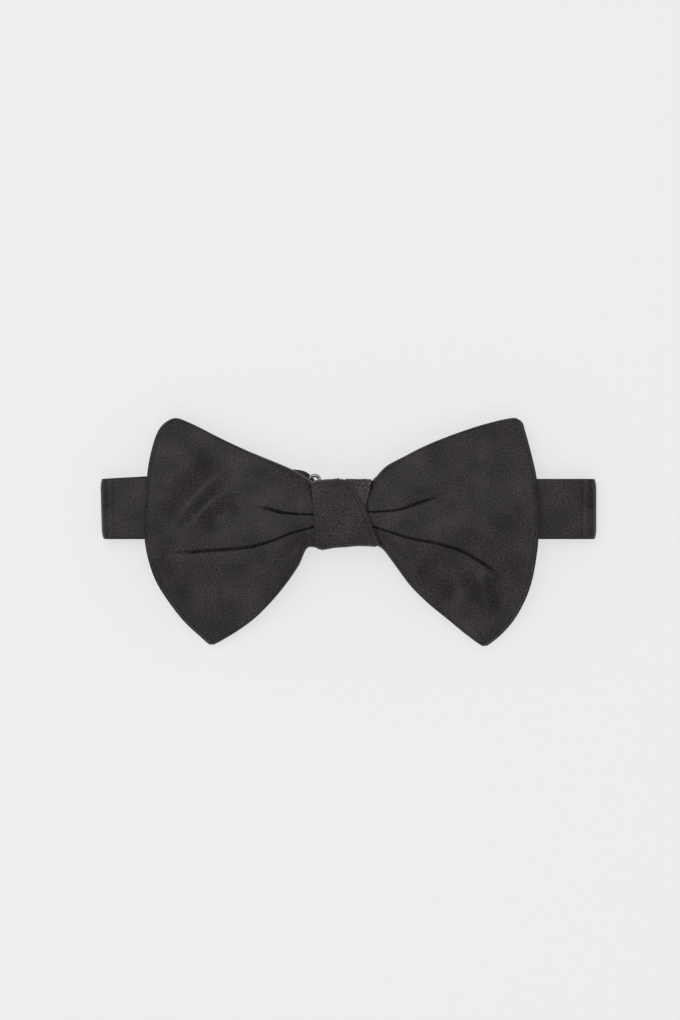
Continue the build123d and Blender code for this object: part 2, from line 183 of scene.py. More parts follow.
def mesh_piece(name: str, places: Array, quads: Array, cloth: Array) -> bpy.types.Object:
    """Make a mesh of quads.

    Args:
        name: the piece's name.
        places: places of its points in millimetres of the row frame.
        quads: four point numbers for each face.
        cloth: each face corner's place on the flat cloth in millimetres, kept as a UV map.

    Returns:
        The new object, at the origin, with its place in its mesh.
    """
    mesh = bpy.data.meshes.new(name)
    mesh.from_pydata((places.reshape(-1, 3) * MM).tolist(), [], quads.tolist())
    layer = mesh.uv_layers.new(name="cloth")
    layer.data.foreach_set("uv", cloth.astype(np.float32).reshape(-1))
    mesh.validate()
    piece = bpy.data.objects.new(name, mesh)
    bpy.context.collection.objects.link(piece)
    LOG.info("%s: %d faces", name, len(mesh.polygons))
    return piece


def grid_piece(name: str, places: Array, cloth: Array, close_v: bool = False,
               flip: bool = False) -> bpy.types.Object:
    """Make a mesh from a grid of places.

    Args:
        name: the piece's name.
        places: rows by columns by 3, in millimetres of the row frame.
        cloth: rows by columns by 2 places on the flat cloth in millimetres.
        close_v: whether the last column joins the first.
        flip: whether the faces look the other way.

    Returns:
        The new object.
    """
    rows, cols = places.shape[:2]
    across = cols if close_v else cols - 1
    i, j = np.meshgrid(np.arange(rows - 1), np.arange(across), indexing="ij")
    k = (j + 1) % cols
    quads = np.stack([i * cols + j, (i + 1) * cols + j, (i + 1) * cols + k, i * cols + k], axis=-1)
    quads = quads.reshape(-1, 4)
    if flip:
        quads = quads[:, ::-1]
    return mesh_piece(name, places, quads, cloth.reshape(-1, 2)[quads.reshape(-1)])


def ring_piece(name: str, places: Array, cloth: Array) -> bpy.types.Object:
    """Make a closed mesh from a grid of places that joins up both ways, its faces outwards."""
    rows, cols = places.shape[:2]
    i, j = np.meshgrid(np.arange(rows), np.arange(cols), indexing="ij")
    i2, j2 = (i + 1) % rows, (j + 1) % cols
    quads = np.stack([i * cols + j, i * cols + j2, i2 * cols + j2, i2 * cols + j], axis=-1)
    quads = quads.reshape(-1, 4)
    spots = cloth.reshape(-1, 2)[quads.reshape(-1)].reshape(-1, 4, 2).copy()
    wrapped = i.reshape(-1) == rows - 1
    spots[wrapped, 2:, 1] += cloth[-1, 0, 1] + (cloth[1, 0, 1] - cloth[0, 0, 1])
    piece = mesh_piece(name, places, quads, spots)
    select_only(piece)
    bpy.ops.object.mode_set(mode="EDIT")
    face_outwards()
    return piece


def thicken(piece: bpy.types.Object, thickness: float) -> None:
    """Give a sheet its thickness in millimetres with Solidify, applied, and shade it smooth."""
    select_only(piece)
    wall = piece.modifiers.new("wall", "SOLIDIFY")
    wall.thickness = thickness * MM
    wall.offset = -1.0
    wall.use_even_offset = False
    bpy.ops.object.modifier_apply(modifier="wall")
    bpy.ops.object.shade_smooth_by_angle(angle=SOFT_ANGLE)
    deselect()


# ---------------------------------------------------------------- finishes


def add_node(tree: bpy.types.NodeTree, kind: str, settings: dict[str, Any] | None = None,
             stops: Iterable[tuple[float, str]] = (), **sockets: Any) -> bpy.types.Node:
    """Add one shader node.

    Args:
        tree: the material's node tree.
        kind: the node's type, such as ShaderNodeTexNoise.
        settings: attributes of the node itself.
        stops: a colour ramp's positions and sRGB hex colours.
        sockets: input values, or output sockets to link; an underscore stands for a space, and
            i with a number for the input of that number.

    Returns:
        The new node.
    """
    made = tree.nodes.new(kind)
    for key, value in (settings or {}).items():
        setattr(made, key, value)
    for index, (position, colour) in enumerate(stops):
        elements = made.color_ramp.elements
        element = elements[index] if index < 2 else elements.new(position)
        element.position, element.color = position, linear(colour)
    for key, value in sockets.items():
        numbered = key[0] == "i" and key[1:].isdigit()
        socket = made.inputs[int(key[1:]) if numbered else key.replace("_", " ")]
        if isinstance(value, bpy.types.NodeSocket):
            tree.links.new(value, socket)
        else:
            socket.default_value = value
    return made


def new_material(name: str) -> tuple[bpy.types.Material, bpy.types.NodeTree, bpy.types.Node]:
    """A new material, its node tree and its shader."""
    material = bpy.data.materials.new(name)
    material.use_nodes = True
    return material, material.node_tree, material.node_tree.nodes["Principled BSDF"]


def coloured(tree: bpy.types.NodeTree, shader: bpy.types.Node, value: bpy.types.NodeSocket,
             stops: Iterable[tuple[float, str]]) -> None:
    """Colour the shader by a value through a ramp."""
    ramp = add_node(tree, "ShaderNodeValToRGB", stops=stops, Fac=value)
    tree.links.new(ramp.outputs["Color"], shader.inputs["Base Color"])


def bumped(tree: bpy.types.NodeTree, shader: bpy.types.Node, height: bpy.types.NodeSocket,
           strength: float, deep_mm: float) -> None:
    """Raise the surface by a height."""
    bump = add_node(tree, "ShaderNodeBump", Strength=strength, Distance=deep_mm * MM, Height=height)
    tree.links.new(bump.outputs["Normal"], shader.inputs["Normal"])


@dataclass(frozen=True)
class Satin:
    """Black silk satin: warp floats lie side by side, so it is smooth and glows softly.

    Its threads are about 0.1 mm, too fine to show from a metre, so the grain is drawn at
    thread_mm across the floats and float_mm along them, as coarse as the eye takes it.
    """

    name: str = "silk_satin"
    dark: str = "0b0808"
    mid: str = "1e191a"
    light: str = "3f3839"
    dark_below: float = 0.42
    light_above: float = 0.58
    roughness: float = 0.4
    specular: float = 0.22
    sheen: float = 0.05
    sheen_roughness: float = 0.45
    thread_mm: float = 0.42
    float_mm: float = 0.8
    cloud_per_mm: float = 0.09
    cloud_share: float = 0.2
    grain_share: float = 0.55
    bump_mm: float = 0.1
    bump_strength: float = 0.6

    def build(self) -> bpy.types.Material:
        """Make the material from the piece's cloth map, in millimetres."""
        material, tree, shader = new_material(self.name)
        cloth = add_node(tree, "ShaderNodeUVMap", {"uv_map": "cloth"}).outputs["UV"]
        along = add_node(tree, "ShaderNodeMapping", Vector=cloth,
                         Scale=(1 / self.float_mm, 1 / self.thread_mm, 1.0)).outputs["Vector"]
        floats = add_node(tree, "ShaderNodeTexNoise", Vector=along, Scale=1.0, Detail=3.0,
                          Roughness=0.7)
        even = add_node(tree, "ShaderNodeMapping", Vector=cloth,
                        Scale=(1 / self.thread_mm,) * 3).outputs["Vector"]
        grain = add_node(tree, "ShaderNodeTexNoise", Vector=even, Scale=1.0, Detail=1.0,
                         Roughness=0.5)
        broad = add_node(tree, "ShaderNodeTexNoise", Vector=cloth, Scale=self.cloud_per_mm,
                         Detail=2.0)
        mixed = add_node(tree, "ShaderNodeMix", {"data_type": "FLOAT"}, Factor=self.grain_share,
                         i2=floats.outputs["Fac"], i3=grain.outputs["Fac"]).outputs[0]
        clouded = add_node(tree, "ShaderNodeMix", {"data_type": "FLOAT"}, Factor=self.cloud_share,
                           i2=mixed, i3=broad.outputs["Fac"]).outputs[0]
        middle = (self.dark_below + self.light_above) / 2
        coloured(tree, shader, clouded, [(self.dark_below, self.dark),
                                         (self.light_above, self.light), (middle, self.mid)])
        rough = add_node(tree, "ShaderNodeMapRange", Value=mixed, From_Min=0.3, From_Max=0.7,
                         To_Min=self.roughness - 0.05, To_Max=self.roughness + 0.07)
        tree.links.new(rough.outputs["Result"], shader.inputs["Roughness"])
        bumped(tree, shader, mixed, self.bump_strength, self.bump_mm)
        shader.inputs["Specular IOR Level"].default_value = self.specular
        shader.inputs["Sheen Weight"].default_value = self.sheen
        shader.inputs["Sheen Roughness"].default_value = self.sheen_roughness
        return material


@dataclass(frozen=True)
class Thread:
    """Black polyester sewing thread: two plies twisted, with a dull shine on each turn."""

    name: str = "sewing_thread"
    shade: str = "121111"
    colour: str = "1f1d1d"
    roughness: float = 0.55
    twist_mm: float = 0.5
    bump_mm: float = 0.05

    def build(self) -> bpy.types.Material:
        """Make the material from Object coordinates, in metres."""
        material, tree, shader = new_material(self.name)
        place = add_node(tree, "ShaderNodeTexCoord").outputs["Object"]
        turns = add_node(tree, "ShaderNodeTexWave", {"bands_direction": "DIAGONAL"}, Vector=place,
                         Scale=1 / (self.twist_mm * MM) / WAVE, Distortion=0.6).outputs["Fac"]
        coloured(tree, shader, turns, [(0.2, self.shade), (0.9, self.colour)])
        bumped(tree, shader, turns, 0.7, self.bump_mm)
        shader.inputs["Roughness"].default_value = self.roughness
        return material


@dataclass(frozen=True)
class Canvas:
    """Brushed cotton interlining: plain weave with a raised nap, undyed."""

    name: str = "cotton_interlining"
    pale: str = "cfc8ba"
    shade: str = "a9a294"
    roughness: float = 0.9
    thread_mm: float = 0.6
    bump_mm: float = 0.12

    def build(self) -> bpy.types.Material:
        """Make the material from Object coordinates, in metres."""
        material, tree, shader = new_material(self.name)
        place = add_node(tree, "ShaderNodeTexCoord").outputs["Object"]
        scale = 1 / (self.thread_mm * MM)
        weft, warp = (add_node(tree, "ShaderNodeTexWave", {"bands_direction": way}, Vector=place,
                               Scale=scale / WAVE).outputs["Fac"] for way in "XY")
        nap = add_node(tree, "ShaderNodeTexNoise", Vector=place, Scale=scale, Detail=4.0)
        weave = add_node(tree, "ShaderNodeMath", {"operation": "MULTIPLY"}, i0=weft, i1=warp)
        both = add_node(tree, "ShaderNodeMath", {"operation": "ADD"}, i0=weave.outputs[0],
                        i1=nap.outputs["Fac"]).outputs[0]
        coloured(tree, shader, both, [(0.4, self.shade), (1.1, self.pale)])
        bumped(tree, shader, both, 0.8, self.bump_mm)
        shader.inputs["Roughness"].default_value = self.roughness
        return material


@dataclass(frozen=True)
class Nickel:
    """Nickel-plated steel wire: bright grey, drawn, with fine lengthways scratches from wear."""

    name: str = "nickel_plate"
    bright: str = "9a9da1"
    worn: str = "6a6d71"
    scratch_mm: float = 0.25
    drawn_out: float = 0.12
    smoothest: float = 0.18
    roughest: float = 0.36
    bump_mm: float = 0.02

    def build(self) -> bpy.types.Material:
        """Make the material from Object coordinates, in metres."""
        material, tree, shader = new_material(self.name)
        place = add_node(tree, "ShaderNodeTexCoord").outputs["Object"]
        fine = 1 / (self.scratch_mm * MM)
        drawn = add_node(tree, "ShaderNodeMapping", Vector=place,
                         Scale=(fine, self.drawn_out * fine, fine)).outputs["Vector"]
        scratches = add_node(tree, "ShaderNodeTexNoise", Vector=drawn, Scale=1.0,
                             Detail=4.0).outputs["Fac"]
        coloured(tree, shader, scratches, [(0.3, self.worn), (0.6, self.bright)])
        rough = add_node(tree, "ShaderNodeMapRange", Value=scratches, To_Min=self.smoothest,
                         To_Max=self.roughest)
        tree.links.new(rough.outputs["Result"], shader.inputs["Roughness"])
        bumped(tree, shader, scratches, 0.25, self.bump_mm)
        shader.inputs["Metallic"].default_value = 1.0
        return material


@dataclass
class Wardrobe:
    """All finishes of the tie, made once."""

    satin: bpy.types.Material = field(default_factory=lambda: Satin().build())
    knot_satin: bpy.types.Material = field(default_factory=lambda: Satin(
        name="knot_satin", dark="131010", mid="282223", light="463f40", roughness=0.5,
        specular=0.2, sheen=0.08, thread_mm=0.46, float_mm=0.75).build())
    # Lighter copy of the knot satin for the knot's first turn: its lighter colours are painted sheen, the
    # light that satin laid on the bias catches.
    bias_satin_painted_sheen: bpy.types.Material = field(default_factory=lambda: Satin(
        name="knot_satin_on_the_bias", dark="272222", mid="3b3535", light="5c5555", roughness=0.5,
        specular=0.2, sheen=0.1, thread_mm=0.46, float_mm=0.6).build())
    thread: bpy.types.Material = field(default_factory=lambda: Thread().build())
    canvas: bpy.types.Material = field(default_factory=lambda: Canvas().build())
    nickel: bpy.types.Material = field(default_factory=lambda: Nickel().build())

    def dress(self, piece: bpy.types.Object, material: bpy.types.Material, slot: str) -> None:
        """Give a piece one material."""
        piece.data.materials.clear()
        piece.data.materials.append(material)


# ---------------------------------------------------------------- the frame's own places


@dataclass
class Places:
    """Where things are, in millimetres of the row frame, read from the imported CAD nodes."""

    knot_x: float = 0.0
    strap_y: float = 0.0
    front_z: float = 0.0
    strap_w: float = 0.0
    left_fold_x: float = 0.0
    right_fold_x: float = 0.0
    fold_r: float = 0.0

    @classmethod
    def read(cls) -> Places:
        """Read the places from the boxes of the CAD nodes."""
        binding = cls.box("waist_binding")
        front = cls.box("strap_front")
        fold = cls.box("right_strap_fold")
        left = cls.box("left_strap_fold")
        return cls(
            knot_x=(binding[0][0] + binding[1][0]) / 2,
            strap_y=(front[0][1] + front[1][1]) / 2,
            front_z=front[0][2],
            strap_w=front[1][1] - front[0][1],
            left_fold_x=float(left[1][0] - (front[1][1] - front[0][1]) / 2
                              * sin(radians(LEFT_LEAN))),
            right_fold_x=float(fold[0][0]),
            fold_r=fold[1][2] / 2,
        )

    @staticmethod
    def box(node: str) -> tuple[Array, Array]:
        """Lowest and highest corner of a CAD node in millimetres."""
        low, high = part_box(node)
        return np.array(low) / MM, np.array(high) / MM


# ---------------------------------------------------------------- studio


@dataclass
class Studio:
    """Plain pale table, soft light from above and from the bow's upper side, and the camera."""

    places: Places
    view_height_mm: float = 340.0
    camera_distance: float = 1.0
    sensor_mm: float = 36.0
    paper: str = "8c8c8c"
    paper_glow: float = 0.615
    sky: float = 0.6
    table_size: float = 6.0
    aside_mm: Point = (-0.67, -0.33)

    def build(self) -> None:
        """Add the table, the lights, the world and the camera."""
        deselect()
        bpy.ops.mesh.primitive_plane_add(size=self.table_size, location=(0, 0, -0.05 * MM))
        table = bpy.context.object
        table.name = "table"
        # Matt white paper; its slight glow keeps the shadows as faint as under a light tent.
        paper, _, shader = new_material("matt_paper")
        shader.inputs["Base Color"].default_value = linear(self.paper)
        shader.inputs["Roughness"].default_value = 0.9
        shader.inputs["Specular IOR Level"].default_value = 0.1
        shader.inputs["Emission Color"].default_value = linear("ffffff")
        shader.inputs["Emission Strength"].default_value = self.paper_glow
        table.data.materials.append(paper)
        self.light("overhead_panel", place=(-0.4, 0.42, 1.6), turn=(-15, -14, 0), size=1.3, power=8.6)
        self.light("lower_panel", place=(0.0, -1.05, 1.5), turn=(35, 0, 0), size=0.7, power=2.6)
        world = bpy.data.worlds.new("studio")
        world.use_nodes = True
        background = world.node_tree.nodes["Background"]
        background.inputs["Color"].default_value = linear("ffffff")
        background.inputs["Strength"].default_value = self.sky
        bpy.context.scene.world = world
        bpy.context.scene.view_settings.view_transform = "Standard"
        self.camera()

    def light(self, name: str, place: Sequence[float], turn: Sequence[float], size: float,
              power: float) -> None:
        """Add one square soft light.

        Args:
            name: the light's name.
            place: its place in metres.
            turn: its rotation in degrees; unturned it shines straight down.
            size: its side in metres.
            power: its power in watts.
        """
        lamp = bpy.data.lights.new(name, "AREA")
        lamp.size = size
        lamp.energy = power
        holder = bpy.data.objects.new(name, lamp)
        holder.location = place
        holder.rotation_euler = [radians(a) for a in turn]
        bpy.context.collection.objects.link(holder)

    def camera(self) -> None:
        """Add the camera, straight above the tie, its long side along the bow's height."""
        eye = bpy.data.cameras.new("camera")
        eye.sensor_fit = "VERTICAL"
        eye.sensor_height = self.sensor_mm
        eye.lens = self.sensor_mm * self.camera_distance / (self.view_height_mm * MM)
        holder = bpy.data.objects.new("camera", eye)
        holder.location = ((self.places.knot_x + self.aside_mm[0]) * MM,
                           (self.places.strap_y + self.aside_mm[1]) * MM, self.camera_distance)
        bpy.context.collection.objects.link(holder)
        bpy.context.scene.camera = holder


# ---------------------------------------------------------------- strips of cloth


Lay = Callable[[Array, Array, Array], Array]


def flat_section(half: float, thickness: float) -> Array:
    """Points (across, through) round the section of a flat band with rolled edges."""
    roll = thickness / 2
    line = np.linspace(-1, 1, BAND_COLS) * (half - roll)
    turn = np.linspace(0, pi, 7)[1:-1]
    top = np.stack([line, np.full(BAND_COLS, roll)], 1)
    right = np.stack([half - roll + roll * np.sin(turn), roll * np.cos(turn)], 1)
    return np.vstack([top, right, -top, -right])


def swept(name: str, stations: Array, halves: Array, centres: Array, thickness: float,
          lay: Lay) -> bpy.types.Object:
    """Lay a band of cloth as one closed mesh.

    Args:
        name: the piece's name.
        stations: places along the band in millimetres.
        halves: half of the band's width at each station.
        centres: how far its middle is from its centre line at each station.
        thickness: the band's thickness.
        lay: turns places along, across and through the band into places in the row frame.

    Returns:
        The closed piece, with its cloth map in millimetres.
    """
    sections = np.stack([flat_section(h, thickness) for h in halves])
    width = sections[..., 0] + centres[:, None]
    along = np.broadcast_to(stations[:, None], width.shape)
    places = lay(along, width, sections[..., 1])
    piece = grid_piece(name, places, np.stack([along, width], -1), close_v=True)
    close_ends(piece, places.shape[1], places.shape[0])
    return piece


def close_ends(piece: bpy.types.Object, around: int, rows: int) -> None:
    """Close both ends of a swept mesh, point its faces outwards and shade it smooth."""
    select_only(piece)
    last = (rows - 1) * around
    for vertex in piece.data.vertices:
        vertex.select = False
    for edge in piece.data.edges:
        edge.select = (all(v < around for v in edge.vertices)
                       or all(v >= last for v in edge.vertices))
    for face in piece.data.polygons:
        face.select = False
    bpy.context.tool_settings.mesh_select_mode = (False, True, False)
    bpy.ops.object.mode_set(mode="EDIT")
    bpy.ops.mesh.edge_face_add()
    face_outwards()


def rounded_line(points: Sequence[Point], radius: float | Sequence[float], step: float) -> Array:
    """A line of straight runs with round turns, sampled.

    Args:
        points: the corners of the line.
        radius: radius of every turn, or one for each.
        step: about how far apart the samples of a turn are.

    Returns:
        Samples of the line, count by 2.
    """
    pts = np.asarray(points, float)
    radii = [radius] * (len(pts) - 2) if isinstance(radius, (int, float)) else list(radius)
    line = [pts[0]]
    for before, corner, after, turn in zip(pts, pts[1:], pts[2:], radii):
        a, b = before - corner, after - corner
        a, b = a / np.linalg.norm(a), b / np.linalg.norm(b)
        half_angle = np.arccos(np.clip(a @ b, -1, 1)) / 2
        reach = turn / np.tan(half_angle)
        centre = corner + (a + b) / np.linalg.norm(a + b) * turn / np.sin(half_angle)
        start, stop = corner + a * reach - centre, corner + b * reach - centre
        sweep = pi - 2 * half_angle
        side = np.sign(start[0] * stop[1] - start[1] * stop[0])
        line.extend(runs(line[-1], start + centre)[1:])
        first = atan2(start[1], start[0])
        for angle in first + side * np.linspace(0, sweep, max(4, int(turn * sweep / step)))[1:]:
            line.append(centre + turn * np.array([cos(angle), sin(angle)]))
    line.extend(runs(line[-1], pts[-1])[1:])
    return np.array(line)


def runs(start: Array, stop: Array, step: float = 1.2) -> list[Array]:
    """Evenly spaced samples of a straight run, about a step apart."""
    count = max(2, int(np.linalg.norm(stop - start) / step) + 1)
    return [start + (stop - start) * t for t in np.linspace(0, 1, count)]


def ribbon(name: str, line: Array, halves: float | Array, origin: Point,
           turn: float = 0.0) -> bpy.types.Object:
    """Lay the neckband along a line of runs and heights.

    Args:
        name: the piece's name.
        line: samples (run, height) of the band's middle.
        halves: half of its width, the same throughout or one for each sample.
        origin: place of run 0 in plan.
        turn: direction of the run in degrees from +X.

    Returns:
        The closed piece.
    """
    tangent = np.gradient(line, axis=0)
    tangent /= np.linalg.norm(tangent, axis=1)[:, None]
    normal = np.stack([-tangent[:, 1], tangent[:, 0]], 1)
    c, s = cos(radians(turn)), sin(radians(turn))

    def lay(along: Array, width: Array, through_: Array) -> Array:
        """Place points of the band's section along the line."""
        run = line[:, None, 0] + normal[:, None, 0] * through_
        height = line[:, None, 1] + normal[:, None, 1] * through_
        return np.stack([origin[0] + run * c - width * s, origin[1] + run * s + width * c, height], -1)

    half = np.full(len(line), halves) if isinstance(halves, (int, float)) else halves
    return swept(name, lengths(line), half, np.zeros(len(line)), STRAP_T, lay)


# ---------------------------------------------------------------- wings


class Side(Enum):
    """A side of the bow, and its direction along the band."""

    LEFT = -1
    RIGHT = 1


@dataclass(frozen=True)
class Crease:
    """A pleat, or a soft valley or ridge, along a line of places from the knot's centre.

    depth is how far it sinks, below zero how far it rises; width is how far it reaches to each
    side; lip is how far the cloth above it stands out over the cloth below it; fade is the share
    of the line over which it begins and ends. A crease with a lip is a pleat: it starts slim,
    widens along its line and has a shallow hollow round it.
    """

    line: tuple[Point, ...]
    depth: float
    width: float
    lip: float = 0.0
    lip_width: float = 5.0
    fade: tuple[float, float] = (0.3, 0.35)
    slim: float = 0.5
    widening: float = 1.2
    hollow_share: float = 0.25
    hollow_width: float = 2.2

    def height(self, x: Array, y: Array, loose: float = 0.0) -> Array:
        """Height that the crease adds to a ply.

        Args:
            x: places along the band from the knot's centre.
            y: places across the band from its centre line.
            loose: how much wider the ply bridges the crease than the front ply does.

        Returns:
            The height at each place.
        """
        pts = through(self.line, count=48)
        start, run = pts[:-1], np.diff(pts, axis=0)
        best = np.full(x.shape, np.inf)
        where = np.zeros(x.shape)
        above = np.zeros(x.shape)
        for i, (a, d) in enumerate(zip(start, run)):
            t = np.clip(((x - a[0]) * d[0] + (y - a[1]) * d[1]) / (d @ d), 0, 1)
            dx, dy = x - a[0] - t * d[0], y - a[1] - t * d[1]
            dist = np.hypot(dx, dy)
            near = dist < best
            best = np.where(near, dist, best)
            where = np.where(near, (i + t) / len(run), where)
            above = np.where(near, dy, above)
        show = smooth(where, 0, self.fade[0]) if self.fade[0] > 0 else np.ones(x.shape)
        if self.fade[1] > 0:
            show = show * (1 - smooth(where, 1 - self.fade[1], 1))
        if not self.lip:
            return -self.depth * np.exp(-((best / self.width) ** 2)) * show
        width = self.width * (self.slim + self.widening * where) + loose
        height = -self.depth * np.exp(-((best / width) ** 2))
        height = height + self.lip * smooth(above, -0.15, 0.35) * np.exp(-best / self.lip_width)
        hollow = self.hollow_share * self.depth * np.exp(-((best / self.hollow_width) ** 2))
        return (height - hollow) * show


@dataclass(frozen=True)
class Outline:
    """A wing's edges, as places from the knot's centre, and the relief of its front."""

    lower: tuple[Point, ...]
    outer: tuple[Point, ...]
    upper: tuple[Point, ...]
    creases: tuple[Crease, ...]


LEFT_OUTLINE = Outline(
    lower=((-8.0, -12.9), (-11.2, -12.8), (-14.1, -18.4), (-17.7, -23.8), (-23, -30.3), (-29, -36.3),
           (-35, -40.7), (-42.2, -44.9), (-43.5, -45.4)),
    outer=((-43.5, -45.4), (-44.7, -44.7), (-47.3, -42.3), (-52.3, -37.5), (-58, -30), (-61.7, -23.7),
           (-64, -17), (-65.3, -9), (-64.9, 3), (-64, 14.7), (-61.6, 24.4), (-59.9, 27.5), (-57.8, 29.4)),
    upper=((-8, 8.0), (-10.3, 9.5), (-12.5, 10.9), (-16.7, 13.2), (-31.3, 19.3), (-39.7, 23.2),
           (-50.7, 28.7), (-55, 30.15), (-57.8, 29.4)),
    creases=(
        Crease(((-8, -1.9), (-10, -1.8), (-16, -1.5), (-20.7, -0.9), (-24.8, 0.3), (-28.8, 0.9), (-31.5, 1.2)),
               depth=0.95, width=0.26, lip=0.45, lip_width=4.0, fade=(0.0, 0.45)),
        Crease(((-8, -5.4), (-10, -6), (-17.1, -8), (-23, -10.4), (-30.8, -12.5), (-36.7, -13.1),
                (-45.7, -13.7), (-54, -14.6), (-59.5, -14.9)),
               depth=1.0, width=0.32, lip=0.75, lip_width=6.0, fade=(0.0, 0.25)),
        Crease(((-44, 21), (-53, 13), (-62, 5)), depth=-0.9, width=4.0),
        Crease(((-36, 16), (-44, 9), (-50, 3), (-58, -6)), depth=1.9, width=4.2),
        Crease(((-33, 9), (-41, 4), (-49, -4), (-59, -16)), depth=-1.0, width=3.2),
        Crease(((-35, 2), (-41, -3), (-46, -7)), depth=1.3, width=3.4),
        Crease(((-24, -16), (-36, -19), (-48, -21)), depth=-0.5, width=3.4),
        Crease(((-43, -22), (-53, -29)), depth=-0.5, width=2.8),
        Crease(((-63, -13), (-60, -20), (-56, -27)), depth=0.8, width=2.6),
        Crease(((-14, 4), (-24, 7.5), (-36, 11)), depth=-0.35, width=3.2),
        Crease(((-10, -9), (-16, -13), (-23, -20)), depth=0.4, width=1.6, fade=(0.05, 0.6)),
    ),
)

RIGHT_OUTLINE = Outline(
    lower=((8.8, -11.4), (12.4, -12.6), (13.7, -13.6), (16.1, -16.7), (18.8, -20.4), (22.5, -25.3),
           (28.1, -30.9), (35.5, -37), (41.6, -42), (46.4, -45.4), (47.7, -45.8)),
    outer=((47.7, -45.8), (48.9, -45.1), (52.7, -42), (57, -37), (60.1, -31.5), (62.3, -25.9),
           (63.8, -19.1), (64.9, -9.9), (65, -0.7), (64.4, 9.8), (62.3, 19.7), (60.6, 26.2),
           (59.9, 28.6), (58.7, 29.8)),
    upper=((8.6, 8.2), (11.1, 10.6), (14.5, 14.1), (20.7, 17.5), (26.8, 20.6), (34.2, 23.7),
           (42.9, 26.8), (49, 28.6), (54.6, 29.9), (57.2, 30.2), (58.7, 29.8)),
    creases=(
        Crease(((7, -1.2), (8.6, -1), (14.5, -0.7), (19.4, 0), (23.7, 1.5), (28.1, 3), (34, 4.8), (37, 5.7)),
               depth=0.95, width=0.26, lip=0.45, lip_width=4.0, fade=(0.0, 0.45)),
        Crease(((8.5, -5.2), (10.5, -5.9), (16.3, -7.7), (22.5, -9.6), (29.3, -10.8), (35.5, -12.4),
                (40.4, -14.2), (45.3, -17), (49.6, -20), (52.5, -23.2), (54.3, -26)),
               depth=1.0, width=0.32, lip=0.75, lip_width=6.0, fade=(0.0, 0.25)),
        Crease(((26, -17), (36, -23), (43, -31)), depth=2.3, width=5.4),
        Crease(((43, -20), (47, -28), (50, -37)), depth=-1.1, width=3.0),
        Crease(((56, -25), (50, -34)), depth=0.9, width=2.4),
        Crease(((16, 5), (28, 9), (42, 13)), depth=-0.35, width=3.4),
        Crease(((44, 14), (52, 4), (60, -6)), depth=-0.3, width=4.0),
        Crease(((12.5, -9), (18, -14), (24, -20)), depth=0.4, width=1.6, fade=(0.05, 0.6)),
    ),
)


